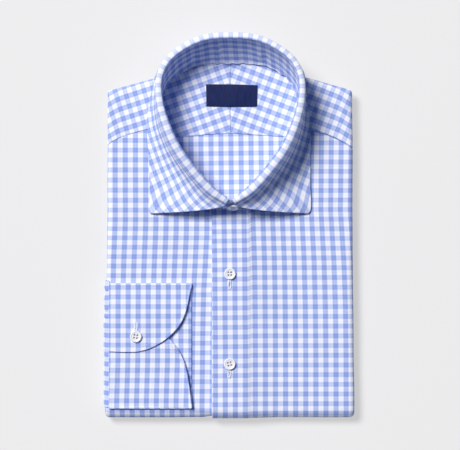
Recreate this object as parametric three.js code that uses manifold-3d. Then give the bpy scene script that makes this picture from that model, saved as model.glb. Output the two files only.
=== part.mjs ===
// A gingham long sleeve dress shirt, folded flat for a shelf. Millimetres, +Z up.
// The collar points along +Y, the fronts face +Z, and the wearer's left is on the +X side.
import * as THREE from 'three';
import { mergeVertices } from 'three/addons/utils/BufferGeometryUtils.js';
import Module from 'manifold-3d';

const wasm = await Module();
wasm.setup();

// Driving dimensions
const cloth = 1.1;
const placketCloth = 2.0;
const seamGap = 0.3;
const packetHeight = 16.4;
const edgeRadius = 4.2;
const foldRadius = packetHeight / 2;
const bottomFoldY = -168.6;
const mostEdgeTurn = 2.1;
const mostFoldTurn = 2.7;
const neckCentreX = 1.3;

// Where the folded sides lie, from the shoulders down to the bottom fold
const sideRows = [
  { y: 124, left: -111.6, right: 113.2 },
  { y: 70, left: -111.6, right: 113.9 },
  { y: -22, left: -112.3, right: 113.8 },
  { y: -96, left: -112.6, right: 114.5 },
  { y: -150, left: -113.2, right: 115.3 },
  { y: -172, left: -114.2, right: 115.5 },
];

// The shoulder folds, and the rise behind the neck between them
const shoulderRows = [
  { x: -113, y: 123.6 },
  { x: -66, y: 136 },
  { x: -54, y: 140.8 },
  { x: -42, y: 146.4 },
  { x: -26, y: 151.2 },
  { x: 0, y: 152.8 },
  { x: 28, y: 151.2 },
  { x: 44, y: 146.4 },
  { x: 56, y: 140.9 },
  { x: 70, y: 136.6 },
  { x: 115, y: 124 },
];

// The seam between each front and its yoke, away from the neck
const yokeSeamRows = [
  { x: -125, y: 72 },
  { x: -111.6, y: 74.3 },
  { x: -104, y: 79 },
  { x: -95, y: 82.8 },
  { x: -76.5, y: 88 },
  { x: -56, y: 92 },
  { x: 58, y: 92 },
  { x: 75.5, y: 87.3 },
  { x: 91, y: 83 },
  { x: 106, y: 76 },
  { x: 112.5, y: 71.8 },
  { x: 125, y: 69.5 },
];

// The collar from the front meeting to the centre back, for half the neck. The foot is where the stand
// is sewn on, the ridge is the top of the roll and the edge is the leaf's free edge. lay is 0 where the
// leaf hangs and 1 where it lies on the shirt, flat is how far it lies, and tuck draws the +X leaf in.
const collarRows = [
  { ridge: [2.6, 24.6, 43.5], foot: [3, 16.6, 19.4], edge: [72.4, 10.9, 18.3], lay: 1, flat: 30, tuck: 0 },
  { ridge: [13.5, 33.2, 45.5], foot: [15.5, 27.5, 19.4], edge: [74, 16, 18], lay: 1, flat: 30, tuck: 0 },
  { ridge: [30, 50.5, 49], foot: [33, 48.2, 18], edge: [74.2, 37, 17.9], lay: 1, flat: 24, tuck: 0.6 },
  { ridge: [46, 72.5, 52.5], foot: [48.5, 71, 17], edge: [75.2, 64, 17.8], lay: 1, flat: 15, tuck: 1.5 },
  { ridge: [56.3, 95, 54], foot: [58.5, 94, 17], edge: [76.6, 87.5, 17.8], lay: 1, flat: 9, tuck: 3 },
  { ridge: [61.8, 115, 54], foot: [63, 115, 17], edge: [75.4, 109, 17.8], lay: 1, flat: 7, tuck: 4 },
  { ridge: [62.2, 133, 53], foot: [58, 130.5, 17], edge: [71.4, 126.5, 18.4], lay: 0.9, flat: 5, tuck: 2.2 },
  { ridge: [55.5, 148.3, 52], foot: [45.5, 141.3, 16.8], edge: [66, 143, 15], lay: 0.3, flat: 8, tuck: 0 },
  { ridge: [40.5, 160.6, 51], foot: [29.5, 148.1, 16], edge: [45, 157.5, 8.2], lay: 0, flat: 12, tuck: 0 },
  { ridge: [21.5, 168.4, 50.3], foot: [15.5, 149.6, 15.7], edge: [24, 164.2, 6.8], lay: 0, flat: 12, tuck: 0 },
  { ridge: [0, 170, 50], foot: [0, 149.8, 15.7], edge: [0, 165.5, 6.5], lay: 0, flat: 12, tuck: 0 },
];
const standCloth = 1.3;
const leafCloth = 1.2;
const rollRadius = 1.8;
const standBelowRidge = 3.1;

// How far the over front's outer face stands above the packet's, across its placket
const overFrontRows = [
  { x: -15.8, rise: 2.3, thick: placketCloth },
  { x: 18.2, rise: 2.3, thick: placketCloth },
  { x: 19.6, rise: 1.45, thick: cloth },
  { x: 26, rise: 1.2, thick: cloth },
  { x: 34, rise: 0.6, thick: cloth },
  { x: 44, rise: 0, thick: cloth },
];
const placketEdgeX = -15.8;
const underFrontEdgeX = 16.4;

const shirtColour = '#b4c2ec';
const insideColour = '#8496d6';
const labelColour = '#1b2a5a';
const buttonColour = '#f2f2f0';

// A row's value at a place between two rows, on a straight line between them.
function between(rows, by, at, column) {
  let next = rows.findIndex((row) => (row[by] - at) * Math.sign(rows.at(-1)[by] - rows[0][by]) >= 0);
  if (next < 0) next = rows.length - 1;
  if (next === 0) next = 1;
  const before = rows[next - 1];
  const after = rows[next];
  const share = THREE.MathUtils.clamp((at - before[by]) / (after[by] - before[by]), 0, 1);
  return THREE.MathUtils.lerp(before[column], after[column], share);
}

// Numbers from first to last, count of them, evenly spread.
function spread(first, last, count) {
  return Array.from({ length: count }, (_, i) => THREE.MathUtils.lerp(first, last, i / (count - 1)));
}

function sideX(y, x) {
  return between(sideRows, 'y', y, x < 0 ? 'left' : 'right');
}

// A point of the flat cloth laid on the folded packet. x and y are measured on the packet's outer face
// and depth is how far the point lies under it. Cloth past the side and shoulder folds turns round an
// arc of edgeRadius, and cloth past the bottom fold turns under round an arc of foldRadius.
function onPacket(x, y, depth) {
  const foldX = sideX(y, x) - Math.sign(x) * edgeRadius;
  const flatX = Math.abs(x) > Math.abs(foldX) ? foldX : x;
  const foldY = between(shoulderRows, 'x', flatX, 'y') - edgeRadius;
  const flatY = Math.min(y, foldY);
  const over = new THREE.Vector2(x - flatX, y - flatY);
  const turn = over.length() / edgeRadius;
  over.setLength((edgeRadius - depth) * Math.sin(turn));
  const sunk = edgeRadius - (edgeRadius - depth) * Math.cos(turn);
  const alongY = flatY + over.y;
  if (alongY >= bottomFoldY) return new THREE.Vector3(flatX + over.x, alongY, packetHeight - sunk);
  const foldTurn = (bottomFoldY - alongY) / foldRadius;
  const radius = foldRadius - sunk;
  return new THREE.Vector3(
    flatX + over.x,
    bottomFoldY - radius * Math.sin(foldTurn),
    foldRadius + radius * Math.cos(foldTurn),
  );
}

// One closed wall between two grids of points, outer[i][j] over inner[i][j].
function wallGeometry(outer, inner) {
  const rows = outer.length;
  const columns = outer[0].length;
  const under = rows * columns;
  const at = (i, j) => i * columns + j;
  const triangles = [];
  const quad = (a, b, c, d) => triangles.push(a, b, c, a, c, d);
  for (let i = 0; i < rows - 1; i += 1) {
    for (let j = 0; j < columns - 1; j += 1) {
      quad(at(i, j), at(i + 1, j), at(i + 1, j + 1), at(i, j + 1));
      quad(under + at(i, j), under + at(i, j + 1), under + at(i + 1, j + 1), under + at(i + 1, j));
    }
  }
  const last = rows - 1;
  const end = columns - 1;
  for (let j = 0; j < end; j += 1) {
    quad(at(0, j), at(0, j + 1), under + at(0, j + 1), under + at(0, j));
    quad(at(last, j + 1), at(last, j), under + at(last, j), under + at(last, j + 1));
  }
  for (let i = 0; i < last; i += 1) {
    quad(at(i + 1, 0), at(i, 0), under + at(i, 0), under + at(i + 1, 0));
    quad(at(i, end), at(i + 1, end), under + at(i + 1, end), under + at(i, end));
  }
  return facingOut([...outer.flat(), ...inner.flat()], triangles);
}

// A geometry from shared points and triangles, turned so that its faces point out.
function facingOut(points, triangles) {
  let volume = 0;
  for (let t = 0; t < triangles.length; t += 3) {
    const [a, b, c] = [0, 1, 2].map((k) => points[triangles[t + k]]);
    volume += a.dot(new THREE.Vector3().crossVectors(b, c));
  }
  const geometry = new THREE.BufferGeometry().setFromPoints(points);
  geometry.setIndex(volume > 0 ? triangles : triangles.toReversed());
  geometry.computeVertexNormals();
  return geometry;
}

// The outer and inner faces of a wall of the given thickness about a grid of middle points.
function thickened(middle, thickness) {
  const offset = (share) =>
    middle.map((row, i) =>
      row.map((point, j) => {
        const along = new THREE.Vector3().subVectors(
          middle[Math.min(i + 1, middle.length - 1)][j],
          middle[Math.max(i - 1, 0)][j],
        );
        const across = new THREE.Vector3().subVectors(
          row[Math.min(j + 1, row.length - 1)],
          row[Math.max(j - 1, 0)],
        );
        const normal = along.cross(across).normalize();
        return point.clone().addScaledVector(normal, share * thickness);
      }),
    );
  return wallGeometry(offset(0.5), offset(-0.5));
}

function named(name, geometry, colour, roughness = 0.9) {
  const mesh = new THREE.Mesh(
    geometry,
    new THREE.MeshStandardMaterial({ color: colour, roughness, metalness: 0 }),
  );
  mesh.name = name;
  return mesh;
}

// The neck edge of the fronts and yokes: the stand's foot, from one front round the back to the other.
const halfFoot = collarRows.map((row) => row.foot);
function footX(y, sign) {
  const rows = halfFoot.slice(0, 6).map(([x, footY]) => ({ x, y: footY }));
  return neckCentreX + sign * between(rows, 'y', y, 'x');
}
function neckEdgeY(x) {
  const rows = halfFoot.slice(0, 6).map(([footHalfX, y]) => ({ x: footHalfX, y }));
  return between(rows, 'x', Math.max(Math.abs(x - neckCentreX), rows[0].x), 'y');
}

// Height of a front's upper edge: the neck edge near the middle, the yoke seam further out.
function frontTopY(x) {
  const seam = between(yokeSeamRows, 'x', x, 'y') - seamGap / 2;
  const reachesSeam = Math.abs(x - neckCentreX) > Math.abs(footX(seam, 1) - neckCentreX);
  return reachesSeam ? seam : Math.min(neckEdgeY(x), seam);
}

// How much of the placket's thickness stands out: all of it on top, none once turned under.
function standsOut(y) {
  const turned = THREE.MathUtils.clamp((bottomFoldY - y) / (foldRadius * mostFoldTurn), 0, 1);
  return 1 - THREE.MathUtils.smoothstep(turned, 0, 1);
}

const flatRowShares = [0, 0.12, 0.3, 0.5, 0.72, 0.9, 1];
const foldTurns = spread(0, mostFoldTurn, 8).slice(1);

// A front: columns of flat cloth from its upper edge down to past the bottom fold.
function frontGeometry(columns, outerDepth, thickness) {
  const grid = (under) =>
    columns.map((column) => {
      const xAt = typeof column === 'function' ? column : () => column;
      const top = frontTopY(xAt(yokeSeamRows[0].y));
      const ys = flatRowShares.map((share) => THREE.MathUtils.lerp(top, bottomFoldY, share));
      foldTurns.forEach((turn) => ys.push(bottomFoldY - turn * foldRadius));
      return ys.map((y) => {
        const x = xAt(y);
        return onPacket(x, y, outerDepth(x, y) + (under ? thickness(x) : 0));
      });
    });
  return wallGeometry(grid(false), grid(true));
}

// Columns of cloth that the fronts and the outer yokes share along their seam, and at the side folds.
// A seam column has its own x, and an edge column keeps its distance past the side fold at every height.
const seamColumns = [61.5, 75.5, 91, 101];
const edgeReach = edgeRadius * mostEdgeTurn;
const edgeColumns = spread(-1.6, edgeReach * 0.97, 8);
function pastFold(sign, past) {
  return (y) => sideX(y, sign) + sign * (past - edgeRadius);
}

function frontLeft() {
  const placket = [placketEdgeX, -8, -2, 4.5, 10, 14, 18.2, 19.6, 26, 34, 44, 52, 58];
  const folded = edgeColumns.map((past) => pastFold(1, past));
  const depth = (x, y) => -between(overFrontRows, 'x', x, 'rise') * standsOut(y);
  const geometry = frontGeometry([...placket, ...seamColumns, ...folded], depth, (x) =>
    between(overFrontRows, 'x', x, 'thick'),
  );
  return named('front_left', geometry, shirtColour);
}

function frontRight() {
  const inner = [underFrontEdgeX, 8, 4, -2, -9, -15, -22, -32, -43, -52, -56.5];
  const outer = [...seamColumns.map((x) => -x), ...edgeColumns.map((past) => pastFold(-1, past))];
  const dropped = placketCloth + 0.5;
  const underPlacket = (x) => THREE.MathUtils.clamp((x + 24) / 7, 0, 1);
  const depth = (x, y) => dropped * underPlacket(x) * (1 - standsOut(y));
  return named('front_right', frontGeometry([...inner, ...outer], depth, () => cloth), shirtColour);
}

// Half of the outer yoke. Each column runs from the inner edge (yoke seam, then neck) to the shoulder
// fold and on round to the back. past is a column's distance past the side fold.
const yokeColumns = [
  ...edgeColumns.toReversed().map((past) => ({ past })),
  { seamX: seamColumns[3], foldX: 101.5 },
  { seamX: seamColumns[2], foldX: 94 },
  { seamX: seamColumns[1], foldX: 85 },
  { seamX: seamColumns[0], foldX: 76 },
  { neckX: 63.2, neckY: 104, foldX: 70 },
  { neckX: 63.6, neckY: 116, foldX: 64 },
  { neckX: 61, neckY: 126, foldX: 58 },
  { neckX: 54, neckY: 135.5, foldX: 51 },
  { neckX: 43, neckY: 143.6, foldX: 42 },
  { neckX: 29, neckY: 149.8, foldX: 28 },
  { neckX: 15, neckY: 151.3, foldX: 14 },
  { neckX: seamGap / 2, neckY: 151.4, foldX: seamGap / 2 },
];
const yokeShares = [0, 0.3, 0.65, 1];

function yokeColumn({ past, seamX, neckX, neckY, foldX }, sign, depth) {
  const folded = past === undefined ? null : pastFold(sign, past);
  const shift = neckX ? neckCentreX : 0;
  const foldAt = folded ? folded(sideRows[0].y) : sign * foldX + shift;
  const innerAt = folded ? folded(yokeSeamRows[1].y) : sign * (seamX ?? neckX) + shift;
  const innerY = neckY ?? between(yokeSeamRows, 'x', innerAt, 'y') + seamGap / 2;
  const flatX = Math.abs(foldAt) > Math.abs(sideX(124, sign)) - edgeRadius ? pastFold(sign, 0)(124) : foldAt;
  const foldY = between(shoulderRows, 'x', flatX, 'y') - edgeRadius;
  const lastY = Math.sqrt(edgeReach ** 2 - Math.max(past ?? 0, 0) ** 2) + foldY;
  const turnY = Math.max(foldY, innerY + 1);
  const flat = yokeShares.map((share) => {
    const y = THREE.MathUtils.lerp(innerY, turnY, share);
    return [folded ? folded(y) : THREE.MathUtils.lerp(innerAt, foldAt, share), y];
  });
  const turned = spread(turnY, lastY, 6).slice(1).map((y) => [folded ? folded(y) : foldAt, y]);
  return [...flat, ...turned].map(([x, y]) => onPacket(x, y, depth));
}

function yokeOuter(name, sign) {
  const grid = (depth) => yokeColumns.map((column) => yokeColumn(column, sign, depth));
  return named(name, wallGeometry(grid(0), grid(cloth)), shirtColour);
}

// A flat sheet of cloth from an outline in the XY plane, its underside at the given height.
function flatSheet(name, outline, bottom, thickness, colour) {
  const shape = new THREE.Shape(outline.map(([x, y]) => new THREE.Vector2(x, y)));
  const geometry = new THREE.ExtrudeGeometry(shape, { depth: thickness, bevelEnabled: false });
  geometry.translate(0, 0, bottom);
  return named(name, geometry, colour);
}

const insideTop = packetHeight - cloth - seamGap;
const insideBottom = insideTop - cloth;
const innerYokeSeam = { centre: 85, side: 80.5 };

function yokeInner(name, sign) {
  const outline = [
    [sign * seamGap / 2, innerYokeSeam.centre],
    [sign * 62, innerYokeSeam.side],
    [sign * 66, 104],
    [sign * 66, 117],
    [sign * 60, 131],
    [sign * 45, 140],
    [sign * 29, 147.6],
    [sign * 16, 149],
    [sign * seamGap / 2, 149.2],
  ].map(([x, y]) => [x + neckCentreX, y]);
  return flatSheet(name, sign > 0 ? outline : outline.reverse(), insideBottom, cloth, insideColour);
}

function backPanel() {
  const half = [
    [62, innerYokeSeam.side - seamGap],
    [56, 66],
    [42, 44],
    [25, 22],
    [12, 12],
  ];
  const outline = [
    [0, innerYokeSeam.centre - seamGap],
    ...half.map(([x, y]) => [-x, y]),
    ...half.toReversed(),
  ].map(([x, y]) => [x + neckCentreX, y]);
  return flatSheet('back_panel', outline, insideBottom, cloth, insideColour);
}

function neckLabel() {
  const outline = [
    [-20.8, 109.5],
    [25.8, 109.3],
    [26.2, 129],
    [-21.2, 129.8],
  ];
  return flatSheet('neck_label', outline, insideTop + seamGap, 1, labelColour);
}

// The hidden layers: rings of the packet's outline, drawn in at each height, so that the folded layers
// show as ridges round the sides. lower marks the rings of the turned up tail, under the shoulders.
const layerRows = [
  { z: 0, side: 2.4, bottom: 9.2, top: 9.5 },
  { z: 0.5, side: 1.5, bottom: 9.2, top: 8.4 },
  { z: 1.5, side: 1, bottom: 9.2, top: 7.8 },
  { z: 2.4, side: 1.6, bottom: 9.2, top: 8.4 },
  { z: 2.8, side: 2.8, bottom: 9.2, top: 9.8 },
  { z: 3.3, side: 1.9, bottom: 9.2, top: 10.4 },
  { z: 4.2, side: 1.3, bottom: 6.8, top: 9.9 },
  { z: 5, side: 1.9, bottom: 5.6, top: 10.5 },
  { z: 5.5, side: 3, bottom: 5, top: 11.5 },
  { z: 6, side: 2.1, bottom: 4.6, top: 8 },
  { z: 7, side: 1.5, bottom: 4.2, top: 7.2 },
  { z: 7.8, side: 2.1, bottom: 4, top: 7.6 },
  { z: 8.2, side: 3.2, bottom: 3.9, top: 5 },
  { z: 9.6, side: 2.9, bottom: 3.6, top: 3.6 },
  { z: 10.6, side: 2.2, bottom: 3.5, top: 2.5 },
  { z: 12.2, side: 1.6, bottom: 4.3, top: 1.9 },
  { z: insideBottom - seamGap, side: 2.1, bottom: 5.5, top: 2.3 },
];
const cornerCut = 4.8;

function layerRing({ z, side, bottom, top }) {
  const edge = (y, sign, inset) => sideX(y, sign) - sign * inset;
  const shoulderY = (x) => between(shoulderRows, 'x', x, 'y') - top;
  const bottomY = bottomFoldY - foldRadius + bottom;
  const turnY = bottomFoldY + 0.4;
  const sides = [118, 100, 70, 20, -22, -60, -96, -130, -150].map((y) => y);
  const tip = 2.6;
  const across = [-100, -80, -66, -54, -42, -26, 0, 28, 44, 56, 70, 84, 102];
  const ring = [];
  const leftTip = edge(120, -1, side);
  const rightTip = edge(120, 1, side);
  ring.push([rightTip - tip, shoulderY(rightTip - tip)]);
  across.toReversed().forEach((x) => ring.push([x, shoulderY(x)]));
  ring.push([leftTip + tip, shoulderY(leftTip + tip)]);
  ring.push([leftTip, shoulderY(leftTip) - tip]);
  sides.slice(1).forEach((y) => ring.push([edge(y, -1, side), y]));
  ring.push([edge(turnY, -1, side), turnY]);
  ring.push([edge(turnY, -1, Math.max(side, cornerCut)), turnY - 0.1]);
  ring.push([edge(turnY, -1, cornerCut), Math.min(bottomY, turnY - 0.2)]);
  ring.push([edge(turnY, 1, cornerCut), Math.min(bottomY, turnY - 0.2)]);
  ring.push([edge(turnY, 1, Math.max(side, cornerCut)), turnY - 0.1]);
  ring.push([edge(turnY, 1, side), turnY]);
  sides.slice(1).toReversed().forEach((y) => ring.push([edge(y, 1, side), y]));
  ring.push([rightTip, shoulderY(rightTip) - tip]);
  return ring.map(([x, y]) => new THREE.Vector3(x, y, z));
}

function foldedLayers() {
  const rings = layerRows.map(layerRing);
  const count = rings[0].length;
  const triangles = [];
  for (let k = 0; k < rings.length - 1; k += 1) {
    for (let i = 0; i < count; i += 1) {
      const next = (i + 1) % count;
      const [a, b, c, d] = [k * count + i, k * count + next, (k + 1) * count + next, (k + 1) * count + i];
      triangles.push(a, b, c, a, c, d);
    }
  }
  const cap = (ring, start, reversed) => {
    const flat = ring.map((p) => new THREE.Vector2(p.x, p.y));
    THREE.ShapeUtils.triangulateShape(flat, []).forEach(([a, b, c]) => {
      triangles.push(...(reversed ? [start + a, start + c, start + b] : [start + a, start + b, start + c]));
    });
  };
  cap(rings[0], 0, true);
  cap(rings.at(-1), (rings.length - 1) * count, false);
  return named('folded_layers', facingOut(rings.flat(), triangles), insideColour);
}

// The whole neck's stations, from the -X front round the back to the +X front.
function neckStations() {
  const placed = (row, sign) => {
    const at = ([x, y, z], shift) => new THREE.Vector3(neckCentreX + sign * (x - shift), y, z);
    const tuck = sign > 0 ? row.tuck : 0;
    return { ridge: at(row.ridge, 0), foot: at(row.foot, 0), edge: at(row.edge, tuck), lay: row.lay, flat: row.flat };
  };
  const left = collarRows.map((row) => placed(row, -1));
  const right = collarRows.slice(0, -1).toReversed().map((row) => placed(row, 1));
  return [...left, ...right];
}

// The middle of the collar roll's start and the directions up the stand and outwards, at each step
// round the neck.
function neckFrames(steps) {
  const stations = neckStations();
  const curve = (points) => new THREE.CatmullRomCurve3(points, false, 'centripetal');
  const ridge = curve(stations.map((s) => s.ridge));
  const foot = curve(stations.map((s) => s.foot));
  const edge = curve(stations.map((s) => s.edge));
  return spread(0, 1, steps).map((t) => {
    const place = t * (stations.length - 1);
    const before = stations[Math.min(Math.floor(place), stations.length - 2)];
    const after = stations[Math.min(Math.floor(place) + 1, stations.length - 1)];
    const share = place - Math.min(Math.floor(place), stations.length - 2);
    const top = ridge.getPoint(t);
    const ahead = ridge.getPoint(Math.min(t + 0.004, 1));
    const behind = ridge.getPoint(Math.max(t - 0.004, 0));
    const along = ahead.sub(behind).setZ(0).normalize();
    const outwards = new THREE.Vector3(-along.y, along.x, 0);
    const start = top.clone().addScaledVector(outwards, leafCloth / 2).setZ(top.z - leafCloth / 2 - rollRadius);
    const sole = foot.getPoint(t);
    const up = start.clone().sub(sole);
    up.addScaledVector(along, -up.dot(along)).normalize();
    const away = new THREE.Vector3().crossVectors(along, up).negate();
    if (away.dot(outwards) < 0) away.negate();
    return {
      start,
      sole,
      up,
      away,
      outwards,
      edge: edge.getPoint(t),
      lay: THREE.MathUtils.lerp(before.lay, after.lay, share),
      flat: THREE.MathUtils.lerp(before.flat, after.flat, share),
    };
  });
}

// The stand: from its foot up to just under the roll, bowed out a little.
const standBow = 1.2;
function collarStand() {
  const frames = neckFrames(41);
  const column = (sole, top, away) =>
    spread(0, 1, 5).map((share) =>
      sole.clone().lerp(top, share).addScaledVector(away, standBow * Math.sin(Math.PI * share)),
    );
  const middle = frames.map((frame) =>
    column(
      frame.sole,
      frame.start.clone().addScaledVector(frame.up, -(standBelowRidge - leafCloth / 2 - rollRadius)),
      frame.away,
    ),
  );
  const tab = frames.at(-1);
  const tabRows = [
    { x: -2.5, footY: 15.6, topY: 22.4, topZ: 37 },
    { x: -8, footY: 15.9, topY: 21.2, topZ: 33 },
  ];
  tabRows.forEach((row) => {
    const sole = new THREE.Vector3(neckCentreX + row.x, row.footY, tab.sole.z);
    const top = new THREE.Vector3(neckCentreX + row.x, row.topY, row.topZ);
    middle.push(column(sole, top, new THREE.Vector3(0, -0.9, 0.3)));
  });
  middle[0] = column(
    new THREE.Vector3(neckCentreX - 3.4, 20.4, frames[0].sole.z),
    new THREE.Vector3(neckCentreX - 3, 25.6, 39.5),
    new THREE.Vector3(0, -0.5, 0.1),
  );
  return named('collar_stand', thickened(middle, standCloth), insideColour);
}

// The leaf: up from the stand, over the roll and down to its free edge.
const leafSteps = 45;
function collarLeaf() {
  const rollTurns = spread(0, Math.PI, 6);
  const middle = neckFrames(leafSteps).map((frame) => {
    const centre = frame.start.clone().addScaledVector(frame.away, rollRadius);
    const points = rollTurns.map((turn) =>
      centre
        .clone()
        .addScaledVector(frame.away, -rollRadius * Math.cos(turn))
        .addScaledVector(frame.up, rollRadius * Math.sin(turn)),
    );
    const crest = points.at(-1);
    const fall = crest.z - frame.edge.z;
    const lying = frame.edge.clone().sub(crest).setZ(0).normalize().setZ(-0.05);
    const landing = new THREE.Vector3(0, 0, -1).lerp(lying, frame.lay).normalize();
    const curve = new THREE.CubicBezierCurve3(
      crest,
      crest.clone().addScaledVector(frame.up, -0.42 * fall),
      frame.edge.clone().addScaledVector(landing, -frame.flat),
      frame.edge,
    );
    return [...points, ...curve.getPoints(7).slice(1)];
  });
  return named('collar_leaf', thickened(middle, leafCloth), shirtColour);
}

// The cuff: one band, its path starting at the upper flap's edge, over the top fold, down the back
// layer, round the bottom fold and up to the lower flap's edge under the upper flap.
const cuffCloth = 1.1;
const cuffLevels = { back: packetHeight + 0.35 + cuffCloth / 2, step: cuffCloth + 0.35 };
const cuffFolds = { top: -53, bottom: -168.5 };
const cuffRows = [
  { x: -110.4, upper: -115.6, lower: -92 },
  { x: -95.7, upper: -116.2, lower: -92 },
  { x: -84, upper: -115.8, lower: -92 },
  { x: -75.4, upper: -113.8, lower: -92.5 },
  { x: -66.2, upper: -109.8, lower: -95.5 },
  { x: -56.1, upper: -103, lower: -103 },
  { x: -49.7, upper: -96.8, lower: -109.5 },
  { x: -44.2, upper: -89.6, lower: -118 },
  { x: -39.8, upper: -80.4, lower: -128.5 },
  { x: -37, upper: -71, lower: -140 },
  { x: -35, upper: -61.5, lower: -154 },
  { x: -33.4, upper: -56, lower: -165.5 },
];

function cuffRight() {
  const front = cuffLevels.back + cuffLevels.step;
  const bend = cuffLevels.step / 2;
  const topCentre = cuffFolds.top - bend - cuffCloth / 2;
  const bottomCentre = cuffFolds.bottom + bend + cuffCloth / 2;
  const upperZ = (y) => front + cuffLevels.step * THREE.MathUtils.smoothstep(-y, 58, 82);
  const centreZ = cuffLevels.back + bend;
  const middle = cuffRows.map(({ x, upper, lower }) => {
    const path = spread(upper, topCentre - 0.4, 9).map((y) => [y, upperZ(y)]);
    spread(Math.PI / 2, -Math.PI / 2, 5).forEach((a) => {
      path.push([topCentre + bend * Math.cos(a), centreZ + bend * Math.sin(a)]);
    });
    spread(topCentre, bottomCentre, 5).slice(1, -1).forEach((y) => path.push([y, cuffLevels.back]));
    spread(-Math.PI / 2, -1.5 * Math.PI, 5).forEach((a) => {
      path.push([bottomCentre + bend * Math.cos(a), centreZ + bend * Math.sin(a)]);
    });
    spread(bottomCentre, lower, 5).slice(1).forEach((y) => path.push([y, front]));
    return path.map(([y, z]) => new THREE.Vector3(x, y, z));
  });
  return named('cuff_right', thickened(middle, cuffCloth), shirtColour);
}

// The sleeve's end: two layers pressed together, from the cuff over the packet's side and down it.
// bulge is how far each pleat stands out.
const sleeveCloth = 1.7;
const sleeveStartX = -111.3;
const sleeveRows = [
  { y: -50.5, bulge: 0 },
  { y: -55, bulge: 0.3 },
  { y: -60, bulge: -0.1 },
  { y: -66, bulge: 0.7 },
  { y: -73, bulge: 1.1 },
  { y: -79, bulge: 0.1 },
  { y: -84, bulge: 1.2 },
  { y: -92, bulge: 1.2 },
  { y: -104, bulge: 1.1 },
  { y: -114, bulge: 1 },
  { y: -119, bulge: 0.5 },
  { y: -128, bulge: 0.5 },
  { y: -140, bulge: 0.4 },
  { y: -153, bulge: 0.3 },
  { y: -160, bulge: 0 },
  { y: -167, bulge: -0.3 },
];

function sleeveRight() {
  const lift = seamGap + sleeveCloth / 2;
  const middle = sleeveRows.map(({ y, bulge }) => {
    const centreX = sideX(y, -1) + edgeRadius;
    const centreZ = packetHeight - edgeRadius;
    const radius = edgeRadius + lift + 0.1;
    const outX = radius + Math.max(bulge, -0.1) * 0.8;
    const outZ = radius + Math.max(bulge, 0) * 0.5;
    const firstTurn = Math.asin((centreX - sleeveStartX) / outX);
    const path = spread(firstTurn, Math.PI / 2, 6).map((a) => [
      centreX - outX * Math.sin(a),
      centreZ + outZ * Math.cos(a),
    ]);
    path.push([centreX - outX + 0.2, 7.5], [centreX - outX + 0.6, 3.6], [centreX - outX + 1.1, 1.3]);
    return path.map(([x, z]) => new THREE.Vector3(x, y, z));
  });
  return named('sleeve_right', thickened(middle, sleeveCloth), shirtColour);
}

// A four hole button with a raised rim, its flat back at height 0.
const buttonRadius = 5.35;
const buttonProfile = [
  [0, 0],
  [buttonRadius - 0.8, 0],
  [buttonRadius, 0.7],
  [buttonRadius, 1.5],
  [buttonRadius - 0.6, 2.2],
  [buttonRadius - 1.2, 2.2],
  [buttonRadius - 1.9, 1.6],
  [0, 1.5],
];
const holeRadius = 0.75;
const holeSpacing = 2.6;

function solid(geometry) {
  const bare = geometry.clone();
  bare.deleteAttribute('normal');
  bare.deleteAttribute('uv');
  const merged = mergeVertices(bare, 1e-4);
  return new wasm.Manifold(
    new wasm.Mesh({
      numProp: 3,
      vertProperties: merged.attributes.position.array,
      triVerts: new Uint32Array(merged.index.array),
    }),
  );
}

function buttonGeometry() {
  const profile = buttonProfile.map(([r, h]) => new THREE.Vector2(r, h));
  const disc = new THREE.LatheGeometry(profile, 18).rotateX(Math.PI / 2);
  let button = solid(disc);
  [-1, 1].forEach((across) => {
    [-1, 1].forEach((along) => {
      const hole = new THREE.CylinderGeometry(holeRadius, holeRadius, 6, 8).rotateX(Math.PI / 2);
      hole.translate((across * holeSpacing) / 2, (along * holeSpacing) / 2, 1);
      button = button.subtract(solid(hole));
    });
  });
  const { vertProperties, triVerts } = button.getMesh();
  const geometry = new THREE.BufferGeometry();
  geometry.setAttribute('position', new THREE.BufferAttribute(vertProperties, 3));
  geometry.setIndex(new THREE.BufferAttribute(triVerts, 1));
  geometry.computeVertexNormals();
  return geometry;
}

const placketTop = packetHeight + 2.3;
const cuffTop = cuffLevels.back + 2 * cuffLevels.step + cuffCloth / 2;
const buttonRows = [
  { name: 'button_front_1', at: [0.8, -44.3, placketTop + seamGap], lean: 0, turn: -15 },
  { name: 'button_front_2', at: [0.6, -127.1, placketTop + seamGap], lean: 0, turn: -12 },
  { name: 'button_cuff', at: [-85.4, -101.8, cuffTop + seamGap], lean: 0, turn: -15 },
  { name: 'button_collar', at: [3.4, 17, 29.4], lean: 69, turn: 0 },
];

function buttons() {
  const geometry = buttonGeometry();
  return buttonRows.map(({ name, at, lean, turn }) => {
    const button = named(name, geometry, buttonColour, 0.35);
    button.position.set(...at);
    button.rotation.set(THREE.MathUtils.degToRad(lean), 0, THREE.MathUtils.degToRad(turn));
    return button;
  });
}

const shirt = new THREE.Group();
shirt.add(
  foldedLayers(),
  frontLeft(),
  frontRight(),
  yokeOuter('yoke_outer_left', 1),
  yokeOuter('yoke_outer_right', -1),
  yokeInner('yoke_inner_left', 1),
  yokeInner('yoke_inner_right', -1),
  backPanel(),
  collarStand(),
  collarLeaf(),
  cuffRight(),
  sleeveRight(),
  neckLabel(),
  ...buttons(),
);

// The origin is under the middle of the whole shirt, on the surface that it lies on.
const bounds = new THREE.Box3().setFromObject(shirt);
const centre = bounds.getCenter(new THREE.Vector3());
shirt.position.set(-centre.x, -centre.y, -bounds.min.z);

export default shirt;
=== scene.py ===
# A folded gingham dress shirt round its CAD frame: cloth, sewing, finishes, stage, light and camera.
# Shapes are worked out in millimetres on the part's own tables, then moved to the frame in metres.
import math

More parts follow.
